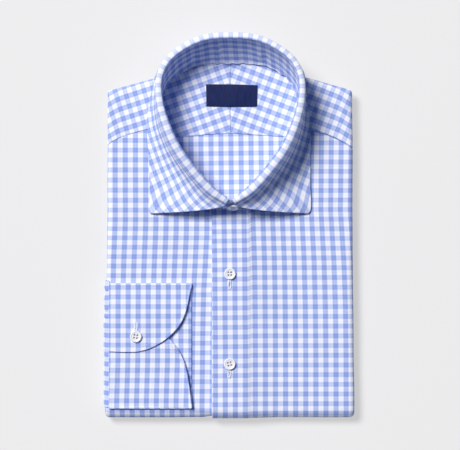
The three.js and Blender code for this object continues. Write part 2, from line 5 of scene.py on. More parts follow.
import bpy
import numpy as np
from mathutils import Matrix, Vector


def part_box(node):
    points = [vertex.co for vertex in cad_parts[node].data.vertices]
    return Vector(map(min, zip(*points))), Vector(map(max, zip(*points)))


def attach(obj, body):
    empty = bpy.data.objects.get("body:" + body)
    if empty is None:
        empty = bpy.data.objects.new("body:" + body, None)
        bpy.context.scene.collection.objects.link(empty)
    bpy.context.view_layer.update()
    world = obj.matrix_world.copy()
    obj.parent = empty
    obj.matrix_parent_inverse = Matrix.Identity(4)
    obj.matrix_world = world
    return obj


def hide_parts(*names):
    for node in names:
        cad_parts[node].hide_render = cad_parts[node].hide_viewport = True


bl_info = {
    "name": "Folded Dress Shirt",
    "version": (1, 0, 0),
    "blender": (4, 5, 0),
    "location": "View3D > Sidebar > Shirt",
    "description": "Builds a folded gingham dress shirt with its sewing, stage and camera",
    "category": "Object",
}

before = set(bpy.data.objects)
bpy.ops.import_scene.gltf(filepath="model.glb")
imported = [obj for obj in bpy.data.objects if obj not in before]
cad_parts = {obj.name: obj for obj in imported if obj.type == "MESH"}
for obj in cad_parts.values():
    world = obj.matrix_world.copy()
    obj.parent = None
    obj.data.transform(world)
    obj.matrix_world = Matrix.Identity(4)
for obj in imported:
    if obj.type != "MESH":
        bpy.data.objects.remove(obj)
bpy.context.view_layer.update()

MM = 0.001

# The packet, as in the part's source
CLOTH = 1.1
PLACKET_CLOTH = 2.0
SEAM_GAP = 0.3
PACKET_HEIGHT = 16.4
EDGE_RADIUS = 4.2
FOLD_RADIUS = PACKET_HEIGHT / 2
BOTTOM_FOLD_Y = -168.6
MOST_EDGE_TURN = 2.1
MOST_FOLD_TURN = 2.7
# Where the cloth's columns go round a side fold: from a little before it to nearly its end
ROUND_THE_FOLD = (-1.6, EDGE_RADIUS * MOST_EDGE_TURN * 0.97)
NECK_CENTRE_X = 1.3

# Places of the folded sides, by y: left and right
SIDE_Y = [-172, -150, -96, -22, 70, 124]
SIDE_LEFT = [-114.2, -113.2, -112.6, -112.3, -111.6, -111.6]
SIDE_RIGHT = [115.5, 115.3, 114.5, 113.8, 113.9, 113.2]

# The shoulder folds, by x
SHOULDER_X = [-113, -66, -54, -42, -26, 0, 28, 44, 56, 70, 115]
SHOULDER_Y = [123.6, 136, 140.8, 146.4, 151.2, 152.8, 151.2, 146.4, 140.9, 136.6, 124]

# The seam between each front and its yoke, by x
SEAM_X = [-125, -111.6, -104, -95, -76.5, -56, 58, 75.5, 91, 106, 112.5, 125]
SEAM_Y = [72, 74.3, 79, 82.8, 88, 92, 92, 87.3, 83, 76, 71.8, 69.5]

# The collar from the front meeting to the centre back, for half the neck: ridge, foot and edge, how far
# the leaf lies on the shirt, the length that lies, and how far the leaf is drawn in on the right
COLLAR = [
    ([2.6, 24.6, 43.5], [3, 16.6, 19.4], [72.4, 10.9, 18.3], 1, 30, 0),
    ([13.5, 33.2, 45.5], [15.5, 27.5, 19.4], [74, 16, 18], 1, 30, 0),
    ([30, 50.5, 49], [33, 48.2, 18], [74.2, 37, 17.9], 1, 24, 0.6),
    ([46, 72.5, 52.5], [48.5, 71, 17], [75.2, 64, 17.8], 1, 15, 1.5),
    ([56.3, 95, 54], [58.5, 94, 17], [76.6, 87.5, 17.8], 1, 9, 3),
    ([61.8, 115, 54], [63, 115, 17], [75.4, 109, 17.8], 1, 7, 4),
    ([62.2, 133, 53], [58, 130.5, 17], [71.4, 126.5, 18.4], 0.9, 5, 2.2),
    ([55.5, 148.3, 52], [45.5, 141.3, 16.8], [66, 143, 15], 0.3, 8, 0),
    ([40.5, 160.6, 51], [29.5, 148.1, 16], [45, 157.5, 8.2], 0, 12, 0),
    ([21.5, 168.4, 50.3], [15.5, 149.6, 15.7], [24, 164.2, 6.8], 0, 12, 0),
    ([0, 170, 50], [0, 149.8, 15.7], [0, 165.5, 6.5], 0, 12, 0),
]
STAND_CLOTH = 1.3
LEAF_CLOTH = 1.2
ROLL_RADIUS = 1.8
# How much wider than a half circle the roll is pressed at the back and at the sides, and how far down the
# leaf keeps falling alongside the stand
CROWN_BACK = 0.8
CROWN_SIDE = 4.0
LEAF_FALL = 0.62
STAND_BELOW_RIDGE = 3.1
STAND_BOW = 1.2

# How far the over front stands above the packet across its placket, by x
OVER_X = [-15.8, 18.2, 19.6, 26, 34, 44]
OVER_RISE = [2.3, 2.3, 1.45, 1.2, 0.6, 0]
PLACKET_EDGE_X = -15.8
UNDER_FRONT_EDGE_X = 16.4

INSIDE_TOP = PACKET_HEIGHT - CLOTH - SEAM_GAP
INSIDE_BOTTOM = INSIDE_TOP - CLOTH
LINING_SEAM_CENTRE = 85
LINING_SEAM_SIDE = 80.5
# The label, and how far from its middle the inner yoke's creases begin
LABEL_MIDDLE = (2.5, 119.5)
LABEL_CLEAR = (26, 13)
LABEL_THICK = 0.7
LABEL_CORNERS = [(-20.8, 109.5), (25.8, 109.3), (26.2, 129), (-21.2, 129.8)]

# The cuff's band
CUFF_CLOTH = 1.1
CUFF_BACK = PACKET_HEIGHT + 0.35 + CUFF_CLOTH / 2
CUFF_STEP = CUFF_CLOTH + 0.35
CUFF_TOP_FOLD = -53
CUFF_BOTTOM_FOLD = -168.5
CUFF_X = [-110.4, -95.7, -84, -75.4, -66.2, -56.1, -49.7, -44.2, -40.1, -37.5, -35.7, -34.3]
CUFF_UPPER = [-115.6, -116.2, -115.8, -113.8, -109.8, -103, -96.8, -89.6, -80.4, -71, -61.5, -56]
CUFF_LOWER = [-92, -92, -92, -92.5, -95.5, -103, -109.5, -118, -128.5, -140, -154, -165.5]

# The sleeve's end round the packet's side, by y: how far each pleat stands out
SLEEVE_CLOTH = 1.1
SLEEVE_RADIUS = 5.45
SLEEVE_START_X = -110.0
SLEEVE_Y = [-50.5, -55, -60, -66, -73, -79, -84, -92, -104, -114, -119, -128, -140, -153, -160, -167]
SLEEVE_BULGE = [0, 0.3, -0.1, 0.7, 1.1, 0.1, 1.2, 1.2, 1.1, 1, 0.5, 0.5, 0.4, 0.3, 0, -0.3]
# The grooves between its pleats: y, half width and depth
SLEEVE_GROOVES = [(-61, 1.1, 1.3), (-79.5, 1.2, 1.4), (-85.6, 0.9, 1.2), (-116.5, 1.0, 0.7)]
# Below its turn the sleeve runs on down the side: heights, and how far in it lies there
SLEEVE_LOW_Z = [10.8, 9.2, 7.5, 5.6, 3.6, 2.4, 1.7, 1.4, 1.3]
SLEEVE_LOW_IN = [0.02, 0.1, 0.2, 0.38, 0.6, 0.8, 0.95, 1.05, 1.1]

# Buttons. Each row gives the node, the place, and the lean and turn in degrees
HOLE_RADIUS = 0.75
HOLE_SPACING = 2.6
HOLE_DEPTH = 1.4
PLACKET_TOP = PACKET_HEIGHT + OVER_RISE[0]
CUFF_TOP = CUFF_BACK + 2 * CUFF_STEP + CUFF_CLOTH / 2
BUTTONS = [
    ("button_front_1", (0.8, -44.3, PLACKET_TOP + SEAM_GAP), 0, 1),
    ("button_front_2", (0.6, -127.1, PLACKET_TOP + SEAM_GAP), 0, 13),
    ("button_cuff", (-85.4, -101.8, CUFF_TOP + SEAM_GAP), 0, -8),
    ("button_collar", (3.4, 17, 29.4), 69, 0),
]

# The check's repeat across the warp stripes and across the weft stripes
WARP_REPEAT = 9.2
WEFT_REPEAT = 8.83
# A photo pixel in millimetres, and the pixel at the tables' zero
PHOTO_PIXEL = 0.92
PHOTO_MIDDLE = (229, 225.5)
# The middle of a blue warp stripe and of a blue weft stripe on the placket
STRIPE_X = 5.06
STRIPE_Y = -40.2

# How far the tables' zero lies from the frame's, read from the label's low corner
label_low = np.array(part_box("neck_label")[0]) / MM
SHIFT = label_low - np.array([LABEL_CORNERS[3][0], LABEL_CORNERS[1][1], INSIDE_TOP + SEAM_GAP])

# The outer faces made so far, by piece, for the stitching
surfaces = {}


def linear(hex_colour):
    """Linear red, green, blue and alpha from an sRGB hex value: c / 12.92 at the dark end, a power above."""
    parts = [int(hex_colour[k : k + 2], 16) / 255 for k in (1, 3, 5)]
    return [c / 12.92 if c <= 0.04045 else ((c + 0.055) / 1.055) ** 2.4 for c in parts] + [1.0]


# Lengths and curves


def unit(vectors):
    """Each vector over its own length."""
    return vectors / np.maximum(np.linalg.norm(vectors, axis=-1, keepdims=True), 1e-12)


def ease(value, low, high):
    """0 below low, 1 above high, and 3t² − 2t³ between them."""
    t = np.clip((value - low) / (high - low), 0, 1)
    return t * t * (3 - 2 * t)


def bell(distance, width):
    """exp(−(distance / width)²): 1 in the middle, fading out to both sides."""
    return np.exp(-((distance / width) ** 2))


def cubic(first, last, out, into, t):
    """The cubic from first to last, t from 0 to 1, that sets out and comes in with the slopes given."""
    gap = last - first
    return first + out * t + (3 * gap - 2 * out - into) * t**2 + (out + into - 2 * gap) * t**3


def smooth_through(at, places, rows):
    """A cubic through the rows at their places, each row's slope taken from its neighbours."""
    places = np.asarray(places, float)
    rows = np.asarray(rows, float)
    slopes = np.gradient(rows, places, axis=0)
    at = np.clip(at, places[0], places[-1])
    k = np.clip(np.searchsorted(places, at, side="right") - 1, 0, len(places) - 2)
    width = places[k + 1] - places[k]
    t = (at - places[k]) / width
    shape = np.shape(at) + (1,) * (rows.ndim - 1)
    t = t.reshape(shape)
    width = width.reshape(shape)
    return cubic(rows[k], rows[k + 1], width * slopes[k], width * slopes[k + 1], t)


def catmull_rom(points, t):
    """Centripetal Catmull-Rom curve through the points: each gap's width in t is the fourth root of its
    squared length, and the ends carry on in a straight line."""
    points = np.asarray(points, float)
    ends = np.vstack([2 * points[0] - points[1], points, 2 * points[-1] - points[-2]])
    place = np.clip(t, 0, 1) * (len(points) - 1)
    k = np.minimum(place.astype(int), len(points) - 2)
    share = (place - k)[:, None]
    p0, p1, p2, p3 = (ends[k + n] for n in range(4))
    d0, d1, d2 = (np.sqrt(np.linalg.norm(b - a, axis=1))[:, None] for a, b in ((p0, p1), (p1, p2), (p2, p3)))
    out = ((p1 - p0) / d0 - (p2 - p0) / (d0 + d1) + (p2 - p1) / d1) * d1
    into = ((p2 - p1) / d1 - (p3 - p1) / (d1 + d2) + (p3 - p2) / d2) * d1
    return cubic(p1, p2, out, into, share)


def spaced(first, last, step, start_lip=True, end_lip=True):
    """Numbers from first to last about step apart, with close ones at an end that is a free edge."""
    lip = np.array([0.05, 0.15, 0.32, 0.6, 1.1])
    way = math.copysign(1, last - first)
    start = first + way * (lip[-1] if start_lip else 0)
    end = last - way * (lip[-1] if end_lip else 0)
    middle = np.linspace(start, end, max(int(abs(end - start) / step) + 2, 2))
    before = first + way * np.concatenate([[0], lip[:-1]]) if start_lip else []
    after = last - way * np.concatenate([lip[:-1][::-1], [0]]) if end_lip else []
    return np.concatenate([before, middle, after])


def shares_of(length, step, start_lip=True, end_lip=True):
    """The same numbers as shares of a length, from 0 to 1."""
    return spaced(0, length, step, start_lip, end_lip) / length


# The folded packet that the cloth lies on


def side_x(y, sign):
    """Where the packet's side lies, on straight lines between the table's rows."""
    return np.where(sign < 0, np.interp(y, SIDE_Y, SIDE_LEFT), np.interp(y, SIDE_Y, SIDE_RIGHT))


def on_packet(x, y, depth):
    """A point of flat cloth laid on the packet. Past the side and shoulder folds it goes round an arc of
    the edge radius by its distance over that radius, and past the bottom fold round an arc of half the
    packet's height. depth is how far it lies under the packet's outer face."""
    fold_x = side_x(y, np.sign(x)) - np.sign(x) * EDGE_RADIUS
    flat_x = np.where(np.abs(x) > np.abs(fold_x), fold_x, x)
    flat_y = np.minimum(y, np.interp(flat_x, SHOULDER_X, SHOULDER_Y) - EDGE_RADIUS)
    past_x = x - flat_x
    past_y = y - flat_y
    past = np.hypot(past_x, past_y)
    turn = past / EDGE_RADIUS
    reach = (EDGE_RADIUS - depth) * np.sin(turn) / np.maximum(past, 1e-9)
    sunk = EDGE_RADIUS - (EDGE_RADIUS - depth) * np.cos(turn)
    along_y = flat_y + past_y * reach
    fold_turn = np.maximum(BOTTOM_FOLD_Y - along_y, 0) / FOLD_RADIUS
    radius = FOLD_RADIUS - sunk
    laid_y = np.where(fold_turn > 0, BOTTOM_FOLD_Y - radius * np.sin(fold_turn), along_y)
    laid_z = np.where(fold_turn > 0, FOLD_RADIUS + radius * np.cos(fold_turn), PACKET_HEIGHT - sunk)
    return np.stack([flat_x + past_x * reach, laid_y, laid_z], -1)


def foot_x(y):
    """Half width of the neck edge at a height y, from the collar's foot rows."""
    feet = np.array([row[1] for row in COLLAR[:6]])
    return np.interp(y, feet[:, 1], feet[:, 0])


def neck_edge_y(x):
    """Height of the neck edge at a place x, from the same rows."""
    feet = np.array([row[1] for row in COLLAR[:6]])
    return np.interp(np.maximum(np.abs(x - NECK_CENTRE_X), feet[0, 0]), feet[:, 0], feet[:, 1])


def front_top_y(x):
    """A front's upper edge: the yoke seam where that is beyond the neck edge, and the neck edge within."""
    seam = np.interp(x, SEAM_X, SEAM_Y) - SEAM_GAP / 2
    beyond = np.abs(x - NECK_CENTRE_X) > foot_x(seam)
    return np.where(beyond, seam, np.minimum(neck_edge_y(x), seam))


def stands_out(y):
    """How much of the placket's thickness stands out: 1 on top, easing to 0 once turned under."""
    return 1 - ease((BOTTOM_FOLD_Y - y) / (FOLD_RADIUS * MOST_FOLD_TURN), 0, 1)


# Creases and unevenness, placed one by one


def creased(x, y, rows):
    """Height of soft creases. Each row is a line from one point to another with a half width and height:
    a ridge exp(−(d / width)²) with a shallower trough beside it, fading out towards both its ends."""
    height = np.zeros(np.broadcast(x, y).shape)
    for x0, y0, x1, y1, width, rise in rows:
        length = math.hypot(x1 - x0, y1 - y0)
        ahead = ((x - x0) * (x1 - x0) + (y - y0) * (y1 - y0)) / length
        aside = ((x - x0) * (y1 - y0) - (y - y0) * (x1 - x0)) / length
        share = np.clip(ahead / length, 0, 1)
        aside = aside + 0.25 * width * np.sin(share * 5 + x0)
        fade = np.sqrt(np.clip(np.sin(np.pi * share), 0, 1))
        ridge = bell(aside, width) - 0.45 * bell(aside - 1.7 * width, 1.3 * width)
        height = height + rise * fade * ridge
    return height


def uneven(x, y, rise, seed=0.0):
    """The slight unevenness of pressed cloth: a sum of long sine waves in several directions."""
    return rise * (
        np.sin(x / 11.3 + y / 23.7 + seed)
        + 0.8 * np.sin(x / 17.9 - y / 12.1 + 1.7 * seed)
        + 0.6 * np.sin(x / 31 + y / 9.3 + 2.9 * seed)
        + 0.35 * np.sin(x / 5.7 - y / 8.3 + 0.6 * seed)
    )


def puckered(along, aside, rise, wave=7.3, reach=2.6):
    """Pucker beside a sewn line: two sine waves along it, fading as exp(−(aside / reach)²), over a
    shallow trough in the line itself."""
    waves = 0.6 * np.sin(2 * np.pi * along / wave) + 0.4 * np.sin(2 * np.pi * along / (wave * 0.61) + 1.1)
    return rise * (waves * bell(aside, reach) - 0.9 * bell(aside, 0.55))


# Walls of cloth


def lengths_along(grid, axis):
    """Length of the grid's lines from their start to each point, along one axis."""
    steps = np.linalg.norm(np.diff(grid, axis=axis), axis=-1)
    return np.insert(np.cumsum(steps, axis=axis), 0, 0, axis=axis)


def edge_distance(grid):
    """Distance along the grid's lines from each point to the nearest of its four edges."""
    down = lengths_along(grid, 0)
    across = lengths_along(grid, 1)
    return np.minimum.reduce([down, down[-1:] - down, across, across[:, -1:] - across])


def rounded(distance, thickness):
    """How far a face is drawn in near a free edge, for a half round edge: h − √(h² − (h − d)²), where h
    is half the thickness and d the distance."""
    half = thickness / 2
    part = 1 - np.clip(distance / half, 0.01, 1)
    return half * (1 - np.sqrt(1 - part**2))


def about_middle(middle, thickness, relief=0.0):
    """The two faces of a wall: half the thickness to each side of a middle surface along its normal, the
    cross product of its two slopes, with a half round edge. relief moves both faces along the normal."""
    normal = unit(np.cross(np.gradient(middle, axis=0), np.gradient(middle, axis=1)))
    half = (thickness / 2 - rounded(edge_distance(middle), thickness))[..., None]
    moved = middle + normal * np.asarray(relief)[..., None]
    return moved + normal * half, moved - normal * half


def upper_first(faces):
    """The two faces of a wall, the higher one first."""
    return faces if np.mean(faces[0][..., 2]) > np.mean(faces[1][..., 2]) else faces[::-1]


def wall_quads(rows, columns):
    """The faces of a closed wall between two grids: every quad of the outer grid, every quad of the inner
    one turned over, and a strip round the four edges."""
    at = np.arange(rows * columns).reshape(rows, columns)
    count = rows * columns
    top = np.stack([at[:-1, :-1], at[1:, :-1], at[1:, 1:], at[:-1, 1:]], -1).reshape(-1, 4)
    strips = [
        np.stack([line[:-1], line[1:], count + line[1:], count + line[:-1]], -1)
        for line in (at[0], at[:, -1], at[-1, ::-1], at[::-1, 0])
    ]
    return np.vstack([top, count + top[:, ::-1], *strips])


def close_ring(ring):
    """Quads across a small closed ring, each between two neighbours on one side and two on the other."""
    count = len(ring) - len(ring) % 2
    k = np.arange(count // 2 - 1)
    return np.stack([ring[k], ring[count - 1 - k], ring[count - 2 - k], ring[k + 1]], -1)


def ring_quads(rows, sides):
    """The faces of a tube of closed rings, one after the other, with its two ends closed across."""
    at = np.arange(rows * sides).reshape(rows, sides)
    following = np.roll(at, -1, axis=1)
    walls = np.stack([at[:-1], following[:-1], following[1:], at[1:]], -1).reshape(-1, 4)
    return np.vstack([walls, close_ring(at[0]), close_ring(at[-1])[:, ::-1]])


def make_mesh(name, points, quads, uv=None):
    """A mesh object from points in millimetres and four sided faces, with its faces turned outwards: they
    are reversed where six times the volume, the sum of a · (b × c) over the triangles, is negative."""
    a, b, c, d = (points[quads[:, k]] for k in range(4))
    volume = np.sum(a * np.cross(b, c)) + np.sum(a * np.cross(c, d))
    if volume < 0:
        quads = quads[:, ::-1]
    mesh = bpy.data.meshes.new(name)
    mesh.vertices.add(len(points))
    mesh.vertices.foreach_set("co", ((points + SHIFT) * MM).astype(np.float32).ravel())
    mesh.loops.add(quads.size)
    mesh.loops.foreach_set("vertex_index", quads.astype(np.int32).ravel())
    mesh.polygons.add(len(quads))
    mesh.polygons.foreach_set("loop_start", np.arange(0, quads.size, 4, dtype=np.int32))
    mesh.polygons.foreach_set("use_smooth", np.ones(len(quads), dtype=bool))
    if uv is not None:
        layer = mesh.uv_layers.new(name="cut")
        layer.data.foreach_set("uv", (uv[quads.ravel()] * MM).astype(np.float32).ravel())
    mesh.update(calc_edges=True)
    mesh.validate()
    made = bpy.data.objects.new(name, mesh)
    bpy.context.scene.collection.objects.link(made)
    return made


def dress(made, slot, node=None, finish=None):
    """Gives a piece its finish, picked by the slot's name unless one is given, puts it under the root body,
    and hides the CAD node that it replaces.
    """
    made.data.materials.append(bpy.data.materials[finish or finish_names[slot]])
    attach(made, "root")
    if node:
        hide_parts(node)


def make_cloth(name, node, outer, inner, uv, held, rests_on, slot="gingham_cotton"):
    """A closed wall of cloth in place of a CAD node. Its flat size, that of the middle of the wall measured
    along its two sets of lines, and its area are worked out, and nothing uses them."""
    rows, columns = outer.shape[:2]
    points = np.vstack([outer.reshape(-1, 3), inner.reshape(-1, 3)])
    both = np.vstack([uv.reshape(-1, 2)] * 2)
    made = make_mesh(name, points, wall_quads(rows, columns), both)
    dress(made, slot, node)
    middle = (outer + inner) / 2
    width = float(np.max(lengths_along(middle, 0)[-1])) * MM
    length = float(np.max(lengths_along(middle, 1)[:, -1])) * MM
    sides = np.diff(middle, axis=0)[:, :-1], np.diff(middle, axis=1)[:-1]
    area = float(np.sum(np.linalg.norm(np.cross(*sides), axis=-1))) * MM * MM
    area = min(max(area, 0.3 * width * length), width * length)
    surfaces[name] = outer
    return made


# The check's place on each piece


def straight_check(x, y, drift_x=0.0, drift_y=0.0):
    """Check coordinates with the warp stripes upright: the distance to a blue stripe's middle each way,
    less how far the cloth has been drawn aside."""
    return np.stack([x - STRIPE_X - drift_x, y - STRIPE_Y - drift_y], -1)


def turned_check(x, y, centre, warp, weft):
    """Check coordinates on cloth cut on the cross. warp and weft each give the turn of their stripes in
    degrees, a blue stripe's distance from the centre and the repeat, in photo pixels."""
    from_x = x - (centre[0] - PHOTO_MIDDLE[0]) * PHOTO_PIXEL
    from_y = y - (PHOTO_MIDDLE[1] - centre[1]) * PHOTO_PIXEL
    check = []
    for (turn, blue, repeat), quarter, real in ((warp, 90, WARP_REPEAT), (weft, 0, WEFT_REPEAT)):
        a = math.radians(turn + quarter)
        across = from_x * math.cos(a) - from_y * math.sin(a) - blue * PHOTO_PIXEL
        check.append(across * real / (repeat * PHOTO_PIXEL))
    return np.stack(check, -1)


YOKE_CHECKS = {
    -1: {"centre": (131, 111.5), "warp": (-18, 4.64, 10.1), "weft": (-16, 0, 9.2)},
    1: {"centre": (330.5, 110), "warp": (21.5, -4.6, 10.2), "weft": (20.5, 4.34, 9.2)},
}
LINING_CHECKS = {
    -1: {"centre": (188.5, 110), "warp": (-20, 0.81, 9.9), "weft": (-19.5, 0, 10)},
    1: {"centre": (259.5, 114.5), "warp": (21, 3.8, 10.1), "weft": (21, -2.1, 9.8)},
}


# The two fronts


def front_columns(flat, sign, y_share):
    """x of each column of a front: fixed columns, then columns that keep their distance past the side
    fold at every height."""
    past = np.linspace(*ROUND_THE_FOLD, 17)
    top_flat = front_top_y(flat)
    top_past = front_top_y(side_x(SEAM_Y[1], sign) + sign * (past - EDGE_RADIUS))
    top = np.concatenate([top_flat, top_past])[:, None]
    y = top + (BOTTOM_FOLD_Y - top) * y_share[None]
    turned = BOTTOM_FOLD_Y - np.linspace(0, MOST_FOLD_TURN, 16)[1:] * FOLD_RADIUS
    y = np.hstack([y, np.repeat(turned[None], len(y), axis=0)])
    fixed = np.repeat(flat[:, None], y.shape[1], axis=1)
    kept = y[len(flat) :]
    moving = side_x(kept, sign) + sign * (past[:, None] - EDGE_RADIUS)
    return np.vstack([fixed, moving]), y


def front_shares():
    """Shares of a front's length for its rows, close together at the upper edge."""
    return shares_of(245, 2.4, True, False)


def lay_over(name, node, x, y, depth, thickness, relief, uv):
    """A wall of cloth laid over the packet and round its folds: its outer face at depth less the relief, its
    inner face a thickness under that, both drawn in at the edges."""
    middle = on_packet(x, y, depth + thickness / 2)
    drawn = rounded(edge_distance(middle), thickness)
    outer = on_packet(x, y, depth - relief + drawn)
    inner = on_packet(x, y, depth - relief + thickness - drawn)
    return make_cloth(name, node, outer, inner, uv, "folded", ["folded_layers"])


OVER_CREASES = [
    (30, 30, 96, 64, 7, 0.35),
    (44, 6, 104, 10, 8, 0.3),
    (28, -14, 88, -34, 9, 0.28),
    (60, -58, 112, -66, 8, 0.3),
    (24, -92, 70, -108, 9, 0.25),
    (66, -118, 110, -136, 8, 0.3),
    (22, -134, 60, -160, 7, 0.22),
    (98, 62, 108, 8, 5, 0.3),
    (103, -20, 106, -92, 5, 0.28),
]
UNDER_CREASES = [
    (-96, 62, -40, 22, 7, 0.35),
    (-104, 34, -70, -2, 8, 0.3),
    (-96, -8, -36, -26, 9, 0.28),
    (-60, -30, -22, -46, 7, 0.3),
    (-28, -60, -22, -150, 4, 0.25),
    (-106, 40, -104, -30, 5, 0.28),
]

OVER_DRIFT_Y = [-165, -120, -77, -55, -32, -9, 14, 60, 90]
OVER_DRIFT_NEAR = [0.8, 0.8, 0.6, 0.4, 0, -0.9, -1.8, -2.2, -2.2]
OVER_DRIFT_FAR = [1.4, 1.3, 0.8, 0.1, -0.8, -2.4, -4, -3.4, -3]
OVER_DRIFT_UP = [0.1, 0.4, 0.9, 1.2, 1.5, 1.8, 1.9, 1.5, 1.2]
UNDER_DRIFT_Y = [-165, -100, -60, -34, -9, 5, 19, 60, 75]
UNDER_DRIFT_NEAR = [-2.2, -1.6, -0.7, 0.9, 2.1, 2.2, 2.2, 2, 2]
UNDER_DRIFT_FAR = [-2, -1.6, -1.2, -0.7, 0.3, 0.8, 0.8, 0.7, 0.7]
UNDER_DRIFT_UP = [2.6, 2.8, 3, 3, 2.3, 1.4, 1.4, 3.4, 3.6]


def over_front():
    """The wearer's left front with its placket, from the placket's edge to the right fold. The placket's
    inner side is a soft step down to single cloth."""
    edge = spaced(PLACKET_EDGE_X, 17.4, 2.1, True, False)
    flat = np.concatenate([edge, np.linspace(17.7, 20.1, 9), np.linspace(22, 101, 34)])
    x, y = front_columns(flat, 1, front_shares())
    step = 1 - ease(x, 17, 21.5)
    rise = np.interp(np.maximum(x, OVER_X[2]), OVER_X, OVER_RISE) + (OVER_RISE[1] - OVER_RISE[2]) * step
    thickness = CLOTH + (PLACKET_CLOTH - CLOTH) * step
    top = np.interp(x, SEAM_X, SEAM_Y)
    relief = creased(x, y, OVER_CREASES) + uneven(x, y, 0.07, 0.4)
    relief = relief + puckered(x, top - y, 0.09) * (x > 56)
    relief = relief + puckered(y, x - PLACKET_EDGE_X - FRONT_STITCH, 0.06, 8.1)
    relief = relief - 0.05 * bell(x - 19.2, 1.1)
    far = np.clip((x - 30) / 75, 0, 1)
    near_drift = np.interp(y, OVER_DRIFT_Y, OVER_DRIFT_NEAR)
    far_drift = np.interp(y, OVER_DRIFT_Y, OVER_DRIFT_FAR)
    beyond = ease(x, 17.5, 21)
    placket_drift = np.interp(y, [-110, -80, -32, 5], [0.8, 0.5, 0.2, -0.5])
    drift_x = placket_drift + (near_drift + (far_drift - near_drift) * far - placket_drift) * beyond
    up = np.interp(y, OVER_DRIFT_Y, OVER_DRIFT_UP)
    placket_up = -np.interp(y, [-160, -60, -20, 5], [0.55, 0.2, 0.3, 0.8]) + 0.012 * x
    drift_y = placket_up + (up - placket_up) * beyond
    uv = straight_check(x, y, drift_x, drift_y)
    depth = -rise * stands_out(y)
    return lay_over("over_front", "front_left", x, y, depth, thickness, relief, uv)


def under_front():
    """The wearer's right front, from beneath the placket to the left fold. Under the turned hem of the
    placket it drops by the placket's thickness."""
    flat = np.concatenate([spaced(UNDER_FRONT_EDGE_X, -20, 2.6, True, False), np.linspace(-22, -101, 36)])
    x, y = front_columns(flat, -1, front_shares())
    depth = (PLACKET_CLOTH + 0.5) * np.clip((x + 24) / 7, 0, 1) * (1 - stands_out(y))
    top = np.interp(x, SEAM_X, SEAM_Y)
    open_cloth = ease(-x, 17, 23)
    relief = (creased(x, y, UNDER_CREASES) + uneven(x, y, 0.07, 2.1)) * open_cloth
    relief = relief + puckered(x, top - y, 0.09) * (x < -56)
    near = np.clip((x + 105) / 85, 0, 1)
    near_drift = np.interp(y, UNDER_DRIFT_Y, UNDER_DRIFT_NEAR)
    far_drift = np.interp(y, UNDER_DRIFT_Y, UNDER_DRIFT_FAR)
    drift_x = far_drift + (near_drift - far_drift) * near
    drift_y = np.interp(y, UNDER_DRIFT_Y, UNDER_DRIFT_UP)
    uv = straight_check(x, y, drift_x, drift_y)
    return lay_over("under_front", "front_right", x, y, depth, CLOTH, relief, uv)


# The yokes


# Columns of half the outer yoke from the seam or neck edge to the shoulder fold
YOKE_SEAM_COLUMNS = [(101, 101.5), (91, 94), (75.5, 85), (61.5, 76)]
YOKE_NECK_COLUMNS = [
    (63.2, 104, 70),
    (63.6, 116, 64),
    (61, 126, 58),
    (54, 135.5, 51),
    (43, 143.6, 42),
    (29, 149.8, 28),
    (15, 151.3, 14),
    (0.15, 151.4, 0.15),
]
YOKE_CREASES = {
    -1: [(-104, 84, -72, 122, 6, 0.35), (-92, 98, -66, 104, 5, -0.3), (-106, 112, -78, 126, 5, 0.3)],
    1: [(104, 82, 76, 120, 6, 0.35), (94, 98, 70, 106, 5, -0.3), (107, 110, 80, 126, 5, 0.3)],
}


def yoke_flat(sign):
    """Flat places of half the outer yoke. Each column runs from its inner end to the shoulder fold on a
    straight line and then straight back over it, and the columns are drawn smoothly between the table's."""
    past = np.linspace(*ROUND_THE_FOLD[::-1], 15)
    fold_top = side_x(SIDE_Y[-1], sign)
    at_seam = side_x(SEAM_Y[1], sign)
    reach = EDGE_RADIUS * MOST_EDGE_TURN
    shares = shares_of(40, 1.8, True, False)
    over = np.linspace(0, 1, 12)[1:]
    columns = []
    for distance in past:
        inner_x = at_seam + sign * (distance - EDGE_RADIUS)
        columns.append((inner_x, np.interp(inner_x, SEAM_X, SEAM_Y) + SEAM_GAP / 2, None, distance))
    for seam, fold in YOKE_SEAM_COLUMNS:
        seam_y = np.interp(sign * seam, SEAM_X, SEAM_Y) + SEAM_GAP / 2
        columns.append((sign * seam, seam_y, sign * fold, None))
    for neck, neck_y, fold in YOKE_NECK_COLUMNS:
        columns.append((sign * neck + NECK_CENTRE_X, neck_y, sign * fold + NECK_CENTRE_X, None))
    rows = []
    for inner_x, inner_y, fold_x, distance in columns:
        kept = distance is not None
        flat_x = fold_top - sign * EDGE_RADIUS if kept else fold_x
        fold_y = np.interp(flat_x, SHOULDER_X, SHOULDER_Y) - EDGE_RADIUS
        last_y = fold_y + math.sqrt(reach**2 - max(distance or 0, 0) ** 2)
        turn_y = max(fold_y, inner_y + 1)
        y = np.concatenate([inner_y + (turn_y - inner_y) * shares, turn_y + (last_y - turn_y) * over])
        if kept:
            x = side_x(y, sign) + sign * (distance - EDGE_RADIUS)
        else:
            x = np.concatenate([inner_x + (fold_x - inner_x) * shares, np.full(len(over), fold_x)])
        rows.append(np.stack([x, y], -1))
    rows = np.array(rows)
    last = len(rows) - 1
    inner = np.linspace(len(past) - 1, last - 0.35, 52)[1:]
    places = np.concatenate([np.arange(len(past)), inner, last - np.array([0.2, 0.08, 0.03, 0])])
    return smooth_through(places, np.arange(len(rows)), rows)


